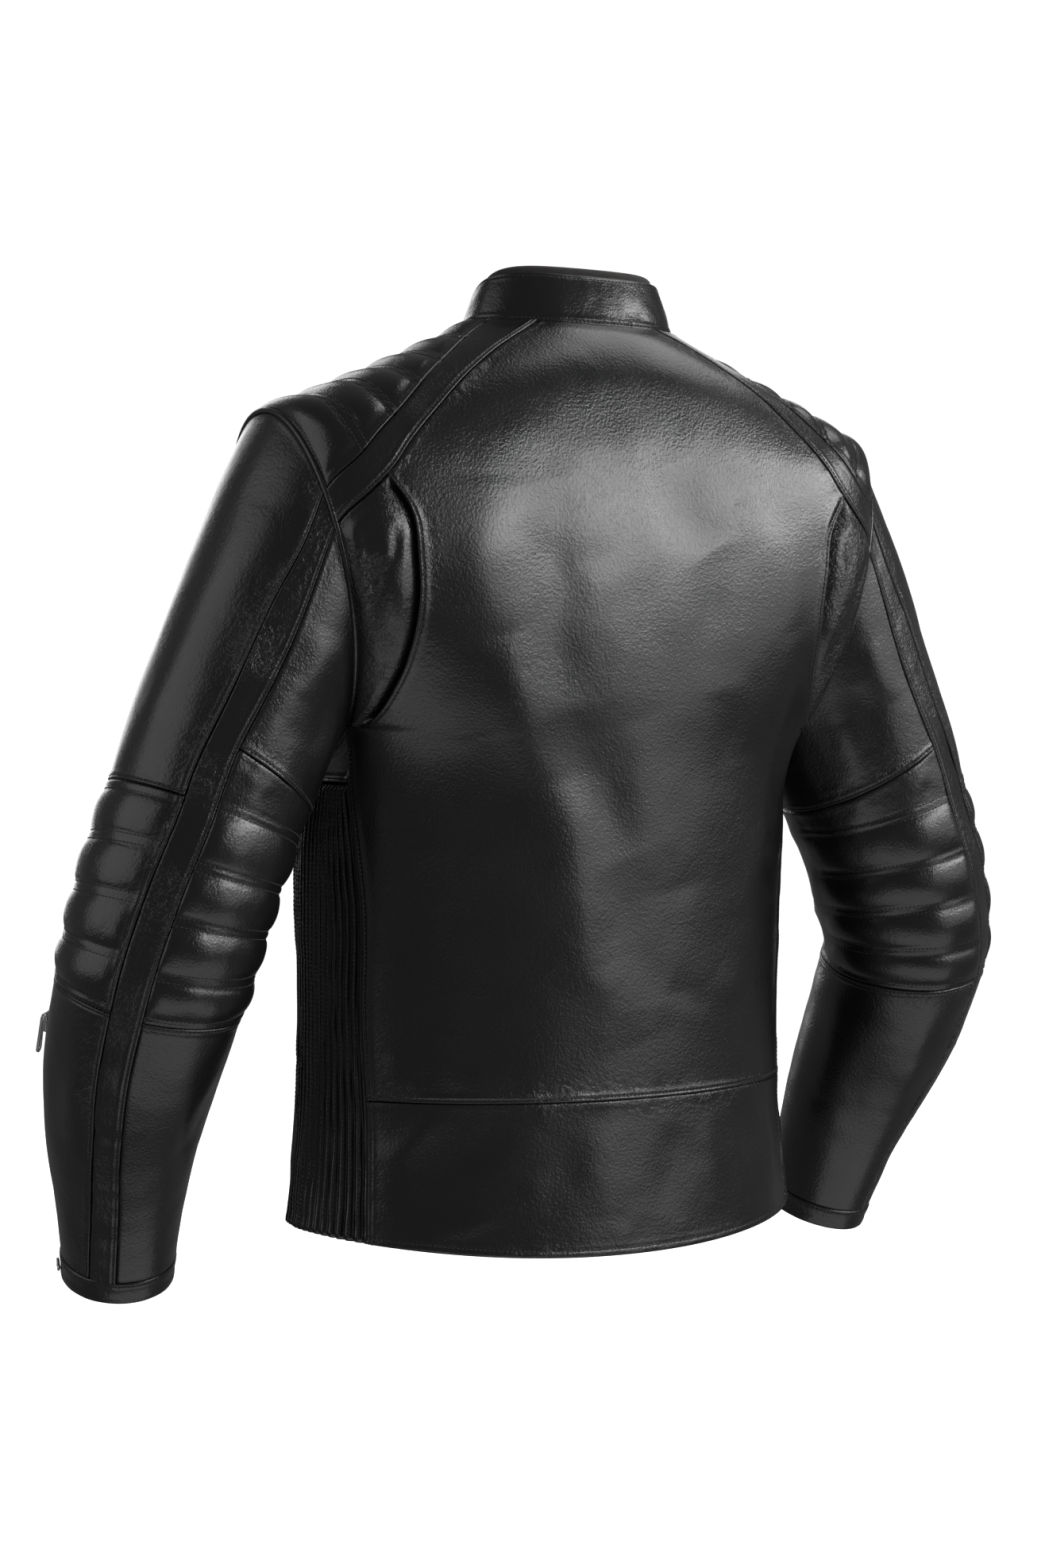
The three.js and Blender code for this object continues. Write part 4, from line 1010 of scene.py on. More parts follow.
def pad_channels(pad):
    """Puffed channels across the shoulder, between double rows that run from back to front."""
    run, total = pad.d["s"], (pad.d["s"] + pad.d["n"])
    marks = [0.155, 0.33, 0.49, 0.65, 0.81]
    sides = smooth(pad.d["w"], 1.5, 13) * smooth(pad.d["e"], 1.5, 13)
    edges = [0.0] + marks + [1.0]
    gap = 3.0
    for low, high in zip(edges[:-1], edges[1:]):
        first = low * total + (gap if low else 0)
        last = high * total - (gap if high < 1 else 5.2)
        x = np.clip((run - first) / np.maximum(last - first, 1), 0, 1)
        pad.h += 2.6 * sides * np.sin(math.pi * x) ** 0.8
    for mark in marks:
        d = np.abs(run - mark * total)
        pad.h += 0.4 * np.clip(1 - (d / gap) ** 2, 0, 1) - 0.5 * np.exp(-(((d - gap) / 0.9) ** 2))
        pad.rows += [("share", mark, -gap), ("share", mark, gap)]


RIBS, RIB_COLUMNS, RIB_HEIGHT, RIB_SINK = 17, 9, 4.0, 3.4


def make_ribs(suffix, side, sh):
    columns = np.linspace(0, 1, RIBS * RIB_COLUMNS + 1)
    ribs = Sheet(torso, between(seam(SIDE_BACK), seam(SIDE_FRONT), PATCH_BOTTOM, HEM), step=3.2,
                 side=side, columns=columns)
    phase = ribs.d["w"] / (ribs.d["w"] + ribs.d["e"]) * RIBS
    wander = 0.10 * noise(ribs.P, 45.0, 3 + sh)
    wave = np.abs(np.sin(math.pi * (phase + wander)))
    ripple = 1 + 0.25 * noise(ribs.P * [1, 1, 0.6], 12.0, 9 + sh)
    ribs.h += RIB_HEIGHT * (wave ** 0.65) * ripple * smooth(ribs.d["s"], 0, 7) - RIB_SINK
    ribs.h += 0.45 * rough(ribs.P, 40.0, 2, 5 + sh)
    ribs.edge("n", "hem")
    ribs.h -= 0.8 * (1 - smooth(ribs.d["s"], 1, 5))
    ribs.rows += [("column", (k + 0.34) / RIBS, 0.0) for k in range(1, RIBS)]
    # The ribs use the darker leather, whose base colour is painted shade between the ribs.
    make(f"side_ribs_{suffix}", ribs, ("torso",), [f"side_stretch_panel_{suffix}"], SKIN_RIBS_PAINTED_SHADE)


def shade_front(front):
    """The front goes under the yoke, laps over the side, and folds back along the zip."""
    d = front.d["w"]
    yoke, hole = YOKE_FRONT[-1][0], SIDE_FRONT[0][0]
    s = front.length
    at_hole = smooth(s, yoke - 0.05, yoke + 0.1) * (1 - smooth(s, hole - 0.1, hole + 0.05))
    at_side = smooth(s, hole - 0.1, hole + 0.05)
    front.h += (1 - at_hole - at_side) * lapped(d) + at_hole * turned(d) + at_side * lapping(d)
    front.h -= groove(d, LAP) * at_side
    front.rows.append(("edge from", "w", (LAP, hole + 0.05)))
    front.edge("e", "turned", 5.0).edge("n", "hem", 4.6).edge("s", "under")
    pucker(front, "w", 0.3, 8.0, 12.0)
    pucker(front, "e", 0.2, 9.0, 9.0)
    welt = pocket_distance(front.angle, front.length)
    front.h += 0.9 * np.exp(-(((welt - 9.0) / 3.4) ** 2)) - 2.2 * (1 - smooth(welt, 5.0, 7.2))


POCKET_TOP, POCKET_BOTTOM = (146, 7.35), (131, 9.05)


def pocket_line(w):
    return (POCKET_TOP[0] + (POCKET_BOTTOM[0] - POCKET_TOP[0]) * w,
            POCKET_TOP[1] + (POCKET_BOTTOM[1] - POCKET_TOP[1]) * w)


def pocket_distance(angle, length):
    """Millimetres to the pocket's centre line."""
    line = torso(*pocket_line(np.linspace(0, 1, 60)))
    points = torso(angle, length)
    best = np.full(points.shape[:-1], 1e9)
    for p in line:
        best = np.minimum(best, np.linalg.norm(points - p, axis=-1))
    return best


COLLAR_FOOT, COLLAR_TOP, CLOTH_TOP = -2.4, 31.0, 38.0
COLLAR_END = 174.5  # the angle of its front ends
TAB_LIFT = 2.6


def collar_place(u, v, top):
    """The collar stands highest at the nape and at the throat."""
    angle = COLLAR_END * (2 * u - 1)
    full = 1 - 0.3 * np.exp(-(((np.abs(angle) - 118) / 28) ** 2))
    return angle, COLLAR_FOOT + (top - COLLAR_FOOT) * v * full


def make_collar():
    outer = Sheet(collar, lambda u, v: collar_place(u, v, COLLAR_TOP), step=2.2)
    soften(outer, 0.4, 26.0, 8)
    pucker(outer, "s", 0.3, 8.0, 10.0)
    pucker(outer, "n", 0.2, 8.0, 9.0)
    outer.h += 2.2 * np.sin(0.5 * math.pi * np.clip(outer.d["s"] / 33, 0, 1))
    outer.edge("s", "over", 2.6).edge("n", "turned", 2.8).edge("we", "turned", 3.2)
    make("collar_leather", outer, ("torso",), ["collar_outer"], SKIN_TRIM)

    inner = Sheet(collar, lambda u, v: collar_place(u, v, CLOTH_TOP), step=2.6)
    inner.h += -1.5 + 0.15 * rough(inner.P, 30.0)
    inner.h += 0.9 * np.exp(-(((inner.d["n"] - 3.5) / 4.0) ** 2)) - rolled(inner.d["n"], 2.6)
    band = make("collar_cloth_band", inner, ("torso",), ["collar_lining"], NEOPRENE,
                thickness=2.2)
    cut_flat(inner)

    tab = Sheet(collar, lambda u, v: (161 + 40 * u, 9 + 17 * v), step=1.6, grow=0.0)
    tab.h += TAB_LIFT - 0.3 * rolled(tab.d["w"], 2.0)
    tab.edge("wesn", "turned", 2.2)
    make("collar_tab_leather", tab, ("collar_tab",), ["collar_tab"], SKIN_TRIM, thickness=1.8)


# sleeves


outer_seam, inner_seam = seam(SLEEVE_STRIPE_OUTER), seam(SLEEVE_STRIPE_INNER)
front_seam = seam(SLEEVE_FRONT_SEAM)
QUILT_BOTTOM = 5.03
OUTER_QUILT = [3.58, 4.08, 4.56]
INNER_QUILT = [3.0, 3.61, 4.11, 4.57]
OUTER_FOLDS = [
    (36, 0.5, 34, 1.6, 22, 1.4), (48, 0.9, 44, 2.2, 14, -1.2), (24, 1.8, 22, 2.9, 18, 1.3),
    (45, 2.3, 38, 3.0, 12, 1.0), (5, 0.8, 8, 2.8, 24, -1.0), (-35, 1.6, -30, 2.9, 16, 1.4),
]
OUTER_LOW_FOLDS = [
    (30, 5.3, 26, 6.6, 12, 1.4), (10, 5.2, 16, 7.0, 14, -1.2), (-10, 5.6, 0, 8.0, 14, 1.2),
    (34, 6.8, 28, 8.4, 10, -1.0),
]
INNER_FOLDS = [
    (95, 0.5, 92, 1.6, 14, 1.6), (110, 0.7, 112, 2.0, 12, -1.4), (128, 0.9, 125, 2.2, 12, 1.4),
    (150, 0.6, 148, 2.2, 12, -1.2), (85, 1.4, 82, 2.4, 10, 1.0), (235, 0.8, 240, 2.2, 18, 1.6),
    (262, 1.2, 268, 2.4, 12, -1.3),
]
ELBOW_FOLDS = [
    (80, 2.6, 100, 2.8, 10, 1.2), (120, 2.6, 150, 2.9, 10, 1.2), (215, 3.2, 262, 3.5, 12, 2.2),
    (205, 3.7, 262, 3.85, 10, -2.2), (210, 4.3, 262, 4.25, 11, 2.4), (205, 4.7, 262, 4.6, 10, -1.8),
    (180, 2.9, 215, 3.2, 11, 1.6), (180, 3.5, 205, 4.2, 10, 1.4),
]
INNER_LOW_FOLDS = [
    (95, 5.2, 100, 6.8, 12, 1.4), (130, 5.3, 125, 7.4, 14, -1.2), (165, 5.2, 160, 7.0, 14, 1.4),
    (215, 5.4, 220, 7.8, 16, -1.2), (255, 5.3, 262, 7.2, 12, 1.3),
]


def round_front(t):
    return front_seam(t) + 360


def across(mark, slope):
    """A quilting line whose length changes by slope across the panel."""
    return lambda u: mark + slope * (u - 0.5)


def cuff_gap(t):
    """Degrees between the front seam and the panels beside the cuff zip."""
    opened = np.clip((t - 5.05) / 0.3, 0, 1)
    width = np.linalg.norm(sleeve(front_seam(t) + 1, t) - sleeve(front_seam(t), t), axis=-1)
    return 4.6 / width * opened


def elbow_crease(sheet, strength=1.0):
    """Creases at the front of the elbow, where the sleeve folds."""
    front = np.clip((-np.sin(np.radians(sheet.angle)) - 0.35) / 0.65, 0, 1) ** 1.3
    for middle, width, height in ((4.06, 0.06, -5.0), (3.8, 0.07, 2.6), (4.34, 0.07, 2.4),
                                  (3.62, 0.05, -1.6), (4.55, 0.05, -1.6)):
        bent = middle + 0.05 * noise(sheet.P, 30.0, 20)
        sheet.h += strength * height * front * np.exp(-(((sheet.length - bent) / width) ** 2))
    return sheet


def make_sleeve(suffix, side):
    sh = 20.0 if side > 0 else 31.0
    upper = hold_of("shoulder", suffix, side)
    elbow = hold_of("elbow", suffix, side)
    lower = (f"forearm_{suffix}",)

    # outside of the arm
    top = Sheet(sleeve, between(front_seam, outer_seam, 0.0, QUILT_TOP), step=2.6, side=side)
    soften(top, 0.5, 60.0, sh)
    fold(top, sleeve, OUTER_FOLDS, 8.0, sh)
    top.edge("s", "turned").edge("n", "over", 2.4).edge("e", "over", 2.6).edge("w", "turned")
    pucker(top, "e", 0.7, 7.5, 15.0, sh)
    pucker(top, "n", 0.35, 8.0, 12.0, sh)
    make(f"sleeve_outer_leather_{suffix}", top, upper, [f"sleeve_outer_{suffix}"])

    quilt = Sheet(sleeve, between(front_seam, outer_seam, QUILT_TOP, QUILT_BOTTOM), step=2.2, side=side)
    soften(quilt, 0.4, 30.0, sh + 1)
    quilt.quilt([across(QUILT_TOP + 0.055, -0.02)] + [across(m, -0.06) for m in OUTER_QUILT]
                + [across(QUILT_BOTTOM - 0.05, -0.02)], 2.8)
    quilt.edge("s", "under").edge("n", "under").edge("e", "over", 2.6).edge("w", "turned")
    elbow_crease(quilt, 0.6)
    pucker(quilt, "e", 0.8, 7.0, 15.0, sh)
    pucker(quilt, "w", 0.4, 8.0, 14.0, sh)
    make(f"elbow_outer_leather_{suffix}", quilt, elbow, [f"forearm_outer_{suffix}"])

    low = Sheet(sleeve, between(lambda t: front_seam(t) + cuff_gap(t), outer_seam, QUILT_BOTTOM, CUFF_BAND),
                step=2.6, side=side)
    soften(low, 0.5, 50.0, sh + 2)
    fold(low, sleeve, OUTER_LOW_FOLDS, 6.0, sh)
    low.edge("s", "over", 2.4).edge("e", "over", 2.6).edge("w", "turned", 4.0).edge("n", "under")
    pucker(low, "e", 0.6, 7.5, 14.0, sh)
    pucker(low, "s", 0.4, 7.5, 14.0, sh)
    make(f"forearm_outer_leather_{suffix}", low, lower)

    # inside of the arm
    top = Sheet(sleeve, between(inner_seam, round_front, 0.0, INNER_SEAM), step=2.8, side=side)
    soften(top, 0.5, 45.0, sh + 3)
    fold(top, sleeve, INNER_FOLDS, 8.0, sh)
    top.edge("s", "turned").edge("n", "over", 2.4).edge("w", "under").edge("e", "turned")
    pucker(top, "n", 0.4, 8.0, 12.0, sh)
    make(f"sleeve_inner_leather_{suffix}", top, upper, [f"sleeve_inner_{suffix}"])

    quilt = Sheet(sleeve, between(inner_seam, round_front, INNER_SEAM, QUILT_BOTTOM), step=2.4, side=side)
    soften(quilt, 0.5, 28.0, sh + 4)
    puffed = 1 - smooth(quilt.angle, 165, 200)
    before = quilt.h.copy()
    quilt.quilt([across(m, -0.10) for m in INNER_QUILT] + [across(QUILT_BOTTOM - 0.05, -0.03)], 2.8)
    quilt.h = before + (quilt.h - before) * puffed
    fold(quilt, sleeve, ELBOW_FOLDS, 6.0, sh)
    quilt.rows = [("length to", row[1], (row[2], 178.0)) if row[0] == "length" else row
                  for row in quilt.rows]
    quilt.edge("s", "under").edge("n", "under").edge("w", "under").edge("e", "turned")
    elbow_crease(quilt, 0.8)
    make(f"elbow_inner_leather_{suffix}", quilt, elbow, [f"forearm_inner_{suffix}"])

    low = Sheet(sleeve, between(inner_seam, lambda t: round_front(t) - cuff_gap(t), QUILT_BOTTOM, CUFF_BAND),
                step=2.8, side=side)
    soften(low, 0.5, 45.0, sh + 5)
    fold(low, sleeve, INNER_LOW_FOLDS, 6.0, sh)
    low.edge("s", "over", 2.4).edge("w", "under").edge("e", "turned", 4.0).edge("n", "under")
    pucker(low, "s", 0.4, 7.5, 14.0, sh)
    make(f"forearm_inner_leather_{suffix}", low, lower)

    # the stripe down the back of the arm
    parts = [("sleeve_stripe", 0.0, 2.78, upper, [f"sleeve_stripe_{suffix}"]),
             ("elbow_stripe", 2.78, QUILT_BOTTOM, elbow, [f"forearm_stripe_{suffix}"]),
             ("forearm_stripe", QUILT_BOTTOM, CUFF_BAND, lower, [])]
    for name, start, end, hold, nodes in parts:
        stripe = Sheet(sleeve, between(outer_seam, inner_seam, start, end), step=2.0, side=side,
                       fine="we" + ("s" if start == 0 else "") + ("n" if end == CUFF_BAND else ""), grow=1.0)
        stripe.h += 0.25 * rough(stripe.P, 20.0, 3, sh + 6)
        crinkle = noise(np.stack([stripe.length * 60, stripe.angle * 0.25, 0 * stripe.h], -1), 9.0, sh)
        stripe.h += 0.5 * crinkle * np.clip(0.3 + noise(stripe.P, 60.0, sh + 8), 0, 1)
        stripe.crinkle += np.clip(0.45 + 0.9 * noise(stripe.P, 40.0, sh + 9), 0, 1)
        stripe.edge("w", "under").edge("e", "over", 2.6)
        if start == 0:
            stripe.edge("s", "turned")
        make(f"{name}_leather_{suffix}", stripe, hold, nodes, sharp_rim=True)

    make_cuff(suffix, side)


def tube(name, points, radius, side=1, closed=False, sides=10, flat=1.0, lift=None):
    """A round cord along points, in millimetres. flat squeezes its section."""
    points = np.asarray(points, float) * [side, 1, 1]
    if closed:
        tangent = np.roll(points, -1, 0) - np.roll(points, 1, 0)
    else:
        tangent = np.gradient(points, axis=0)
    tangent /= np.linalg.norm(tangent, axis=1, keepdims=True)
    reference = np.array([0.31, 0.22, 0.92]) if lift is None else lift * [side, 1, 1]
    first = np.cross(tangent, reference)
    first /= np.linalg.norm(first, axis=1, keepdims=True)
    second = np.cross(tangent, first)
    angle = np.linspace(0, 2 * math.pi, sides, endpoint=False)
    ring = (points[:, None] + radius * np.cos(angle)[None, :, None] * first[:, None]
            + radius * flat * np.sin(angle)[None, :, None] * second[:, None])
    count = len(points)
    index = np.arange(count * sides).reshape(count, sides)
    here = index if closed else index[:-1]
    after = np.roll(index, -1, 0) if closed else index[1:]
    quads = np.stack([here, np.roll(here, -1, 1), np.roll(after, -1, 1), after], -1).reshape(-1, 4)
    faces = [quads] if closed else [quads, index[:1, ::-1], index[-1:]]
    return mesh_object(name, ring, faces)


def make_armhole_piping(suffix, side):
    """The roll round the armhole, along the body's side of the seam."""
    phi = np.linspace(0, 360, 300, endpoint=False)
    rim = sleeve(phi, 0 * phi)
    round_it = sleeve(phi + 0.5, 0 * phi) - sleeve(phi - 0.5, 0 * phi)
    outward = sleeve(phi, 0 * phi + 0.06) - rim
    normal = np.cross(outward, round_it)
    normal /= np.linalg.norm(normal, axis=1, keepdims=True)
    outward /= np.linalg.norm(outward, axis=1, keepdims=True)
    points = rim + normal * 0.35 - outward * 1.1
    roll = tube(f"armhole_piping_{suffix}", points, 2.0, side, closed=True, sides=12, lift=normal)
    finish_piece(roll, SKIN, ("torso",))


def make_cuff(suffix, side):
    hold = (f"forearm_{suffix}",)

    def gap(t):
        width = np.linalg.norm(sleeve(front_seam(t) + 1, t) - sleeve(front_seam(t), t), axis=-1)
        return 6.0 / width

    def place(u, v):
        t = CUFF_BAND - 0.03 + (CUFF - CUFF_BAND + 0.03) * v
        first, last = front_seam(t) + gap(t), front_seam(t) + 360 - gap(t)
        return first + (last - first) * u, t

    band = Sheet(sleeve, place, step=2.0, side=side, grow=0.0)
    band.h += 1.1 + 0.25 * rough(band.P, 16.0, 2, 40 + side)
    band.edge("s", "turned").edge("n", "hem").edge("we", "turned")
    band.stitch("s", 3.0)
    pucker(band, "s", 0.3, 7.0, 9.0, 3)
    make(f"cuff_band_leather_{suffix}", band, hold, [f"cuff_binding_{suffix}"], thickness=3.0)


# zips, studs and pulls

TEETH_PITCH = 2.6


def frame_along(form, place, count, lift):
    """Points, directions down and normals along a line of the form."""
    w = np.linspace(0, 1, count)
    points = form(*place(w))
    angle, length = place(w)
    across = form(angle + 0.5, length) - form(angle - 0.5, length)
    down = np.gradient(points, axis=0)
    down /= np.linalg.norm(down, axis=1, keepdims=True)
    normal = np.cross(across, down) * (1 if form is torso else -1)
    normal /= np.linalg.norm(normal, axis=1, keepdims=True)
    return points + normal * lift, down, normal


def ribbon(name, points, down, normal, half, thickness, side):
    """A flat tape along points, with softly raised selvedges."""
    across = np.cross(down, normal)
    u = np.array([-1, -0.97, -0.9, -0.6, -0.35, 0, 0.35, 0.6, 0.9, 0.97, 1])
    rise = np.array([0, 0.12, 0.2, 0.0, 0.0, 0.25, 0.0, 0.0, 0.2, 0.12, 0])
    outer = (points[None] + across[None] * (u * half)[:, None, None] + normal[None] * rise[:, None, None])
    inner = outer - normal[None] * thickness
    flip = [side, 1, 1]
    return grid_shell(name, outer * flip, inner * flip)


def zip_chain(name, points, down, normal, side):
    """Two interlocked rows of moulded teeth."""
    run = run_along(points, 0)
    count = int(run[-1] / (TEETH_PITCH / 2)) - 1
    at = (np.arange(count) + 0.75) * TEETH_PITCH / 2
    p, d, n = (taken(values, run, at) for values in (points, down, normal))
    across = np.cross(d, n)
    hand = np.where(np.arange(count) % 2, 1.0, -1.0)[:, None]
    # one tooth: (across, down, up), with a narrower head over the middle
    a = np.array([-0.55, -0.55, -0.55, -0.55, 0.45, 0.45, 0.45, 0.45, 2.2, 2.2, 2.2, 2.2])
    b = np.array([-0.42, 0.42, 0.42, -0.42, -0.55, 0.55, 0.55, -0.55, -0.5, 0.5, 0.5, -0.5])
    c = np.array([-0.5, -0.5, 0.75, 0.75, -0.6, -0.6, 0.95, 0.95, -0.5, -0.5, 0.6, 0.6])
    verts = (p[:, None] + across[:, None] * (a[None, :, None] * hand[:, None]) + d[:, None] * b[None, :, None]
             + n[:, None] * (c + 0.35)[None, :, None])
    box = np.array([[0, 1, 2, 3], [4, 7, 6, 5], [0, 4, 5, 1], [1, 5, 6, 2], [2, 6, 7, 3], [3, 7, 4, 0]])
    cells = np.concatenate([box[[0, 2, 3, 4, 5]], box[[2, 3, 4, 5]] + 4, [[8, 11, 10, 9]]])
    offset = (np.arange(count) * 12)[:, None, None]
    faces = cells[None] + offset
    turned = np.where(hand[:, :, None] * side < 0, faces[..., ::-1], faces)
    obj = mesh_object(name, verts * [side, 1, 1], [turned.reshape(-1, 4)])
    obj.data.polygons.foreach_set("use_smooth", np.zeros(len(obj.data.polygons), bool))
    return obj


def make_zip(name, form, place, rows, lift, hold, side, node):
    points, down, normal = frame_along(form, place, rows, lift)
    tape = ribbon(f"{name}_tape", points, down, normal, 5.9, 0.7, side)
    finish_piece(tape, TAPE, hold, [node])
    chain = zip_chain(f"{name}_teeth", points + normal * 0.25, down, normal, side)
    finish_piece(chain, STEEL, hold)


def bevelled(obj, width, segments=2, angle=0.6):
    modifier = obj.modifiers.new("bevel", "BEVEL")
    modifier.width = width * MM
    modifier.segments = segments
    modifier.limit_method = "ANGLE"
    modifier.angle_limit = angle
    depsgraph = bpy.context.evaluated_depsgraph_get()
    mesh = bpy.data.meshes.new_from_object(obj.evaluated_get(depsgraph))
    obj.modifiers.clear()
    obj.data = mesh
    return obj


def plate(name, outline, thickness, matrix, hole=None, bevel=0.35):
    """A flat plate with that outline (across, down), placed by (origin, across, down, normal)."""
    origin, across, down, normal = matrix
    outline = np.asarray(outline, float)
    count = len(outline)
    if hole is None:
        lower = origin + outline[:, :1] * across + outline[:, 1:] * down
        points = np.concatenate([lower, lower + normal * thickness])
        around = np.arange(count)
        side = np.stack([around, np.roll(around, -1), np.roll(around, -1) + count, around + count], -1)
        faces = [around[None, ::-1], around[None] + count, side]
    else:
        inner = np.asarray(hole, float)
        flat = np.concatenate([outline, inner])
        lower = origin + flat[:, :1] * across + flat[:, 1:] * down
        points = np.concatenate([lower, lower + normal * thickness])
        o = np.arange(count)
        o2 = np.roll(o, -1)
        i, i2 = o + count, np.roll(o, -1) + count
        up = 2 * count
        faces = [np.stack([o, i, i2, o2], -1), np.stack([o, o2, i2, i], -1) + up,
                 np.stack([o, o2, o2 + up, o + up], -1), np.stack([i2, i, i + up, i2 + up], -1)]
    if np.dot(np.cross(across, down), normal) * signed_area(outline) < 0:
        faces = [f[:, ::-1] for f in faces]
    obj = mesh_object(name, points, faces)
    return bevelled(obj, bevel)


def signed_area(outline):
    x, y = outline[:, 0], outline[:, 1]
    return 0.5 * np.sum(x * np.roll(y, -1) - np.roll(x, -1) * y)


def arc(cx, cy, rx, ry, start, end, count):
    a = np.radians(np.linspace(start, end, count))
    return np.stack([cx + rx * np.cos(a), cy + ry * np.sin(a)], -1)


def slider_outline():
    """Shoulders at the upper end, a waist, and a narrower lower end."""
    right = [(0, -2.4), (3.0, -2.3), (4.5, -1.3), (4.75, 0.4), (4.3, 3.4), (3.6, 6.8), (3.1, 9.8),
             (2.9, 12.2), (2.2, 12.6)]
    return right + [(-x, y) for x, y in right[:0:-1]]


def pull_outline(length, top=2.1, bottom=3.5, count=13):
    end = length - bottom
    lower = arc(0, end, bottom, bottom, 0, 180, count)
    upper = arc(0, 0, top, top, 180, 360, count)
    return np.concatenate([lower, upper])


SLIDER_RISE, SLIDER_THICKNESS, PULL_RISE, PULL_PIVOT = 2.3, 2.6, 6.6, 3.0


def make_slider(name, origin, across, down, normal, side, hold, node, tongue=0.0):
    """A slider body with its bridge, and for the one-piece kind a fixed tongue."""
    flip = np.array([side, 1, 1])
    frame_ = tuple(np.asarray(v) * flip for v in (origin + normal * SLIDER_RISE, across, down, normal))
    body = plate(f"{name}_body", slider_outline(), SLIDER_THICKNESS, frame_, bevel=0.55)
    finish_piece(body, STEEL, hold, [node])
    rise = 1.6 if tongue else 2.9
    w = np.linspace(0, 1, 17)
    top = SLIDER_RISE + SLIDER_THICKNESS - 0.35
    arch = top + rise * np.sin(math.pi * w) ** 0.5
    path = origin + np.outer(-0.6 + 7.4 * w, down) + np.outer(arch, normal)
    bridge = tube(f"{name}_bridge", path, 1.15, side, sides=10, flat=0.7, lift=normal)
    finish_piece(bridge, STEEL, hold)
    if tongue:
        place = (origin + normal * (top + 0.1) + down * 10.5) * flip
        outline = pull_outline(tongue, 2.4, 2.5)
        frame_ = (place, across * flip, down * flip, normal * flip)
        tail = plate(f"{name}_tongue", outline, 1.5, frame_, bevel=0.4)
        finish_piece(tail, STEEL, hold)


def make_pull(name, origin, across, down, normal, side, hold, node, length):
    flip = np.array([side, 1, 1])
    place = (origin + down * PULL_PIVOT + normal * PULL_RISE) * flip
    low = length - 3.5
    hole = np.concatenate([arc(0, low, 1.7, 1.7, 0, 180, 13), arc(0, low - 6, 1.1, 1.1, 180, 360, 13)])
    frame_ = (place, across * flip, down * flip, normal * flip)
    obj = plate(f"{name}_blade", pull_outline(length), 1.5, frame_, hole=hole, bevel=0.3)
    finish_piece(obj, STEEL, hold, [node])


def zip_frame(form, a0, s0, a1, s1):
    """The point, and the directions across, down and out, at one end of a short line."""
    angles = np.array([a0, a1, a0 + 0.5, a0 - 0.5, a0, a0], float)
    lengths = np.array([s0, s1, s0, s0, s0 + 0.01, s0 - 0.01], float)
    start, end, right, left, below, above = form(angles, lengths)
    down = end - start
    normal = np.cross(right - left, below - above)
    normal *= 1 if form is torso else -1
    normal /= np.linalg.norm(normal)
    down -= normal * (down @ normal)
    down /= np.linalg.norm(down)
    return start, np.cross(down, normal), down, normal


def stud(name, centre, normal, side, hold, node, radius=4.8):
    """A press stud's cap: a domed disc with a rolled rim."""
    profile = np.array([[0, 1.15], [0.25, 1.13], [0.5, 1.0], [0.68, 0.82], [0.72, 0.66], [0.78, 0.72],
                        [0.88, 0.9], [0.96, 0.8], [1.0, 0.45], [1.0, -0.2], [0.96, -0.75], [0.6, -1.2]])
    normal = normal / np.linalg.norm(normal)
    first = np.cross(normal, [0.2, 0.1, 1.0])
    first /= np.linalg.norm(first)
    second = np.cross(normal, first)
    count = 40
    a = np.linspace(0, 2 * math.pi, count, endpoint=False)
    rings = [centre + normal * y + radius * r * (np.cos(a)[:, None] * first + np.sin(a)[:, None] * second)
             for r, y in profile[1:]]
    points = np.concatenate([[centre + normal * profile[0][1]], *rings])
    index = 1 + np.arange(count * len(rings)).reshape(len(rings), count)
    around = np.roll(index, -1, 1)
    cap = np.stack([np.zeros(count, int), index[0], around[0]], -1)
    quads = np.stack([index[:-1], index[1:], around[1:], around[:-1]], -1).reshape(-1, 4)
    faces = [cap, quads, index[-1:, ::-1]]
    if side < 0:
        faces = [f[:, ::-1] for f in faces]
    obj = mesh_object(name, points * [side, 1, 1], faces)
    return finish_piece(obj, STEEL, hold, [node])


CUFF_ZIP_TOP, CUFF_SLIDER_AT = 5.45, 5.62
CUFF_STUD_AT = (-20.0, 8.86)


def cuff_line(w):
    t = CUFF_ZIP_TOP + (CUFF_BAND - 0.02 - CUFF_ZIP_TOP) * w
    return front_seam(t), t


def make_zips(suffix, side):
    fore = (f"forearm_{suffix}",)
    make_zip(f"cuff_zip_{suffix}", sleeve, cuff_line, 160, 0.0, fore, side, f"cuff_zip_{suffix}")
    at = np.array([CUFF_SLIDER_AT, CUFF_SLIDER_AT + 0.4])
    line = front_seam(at)
    f = zip_frame(sleeve, line[0], at[0], line[1], at[1])
    slider, pull = f"cuff_zip_slider_{suffix}", f"cuff_zip_pull_{suffix}"
    make_slider(f"cuff_slider_{suffix}", *f, side, (slider,), slider)
    make_pull(f"cuff_pull_{suffix}", *f, side, (pull,), pull, 27)
    angle, length = CUFF_STUD_AT
    normal = normal_at(sleeve, angle, length)
    centre = sleeve(np.array([angle]), np.array([length]))[0] + normal * 2.8
    stud(f"cuff_stud_cap_{suffix}", centre, normal, side, fore, f"cuff_stud_{suffix}")

    zip_name, slider = f"pocket_zip_{suffix}", f"pocket_zip_slider_{suffix}"
    make_zip(zip_name, torso, pocket_line, 160, 0.6, ("torso",), side, zip_name)
    start, *directions = zip_frame(torso, *pocket_line(0.05), *pocket_line(0.2))
    start = start + directions[-1] * 2.0
    make_slider(f"pocket_slider_{suffix}", start, *directions, side, (slider,), slider, tongue=22)


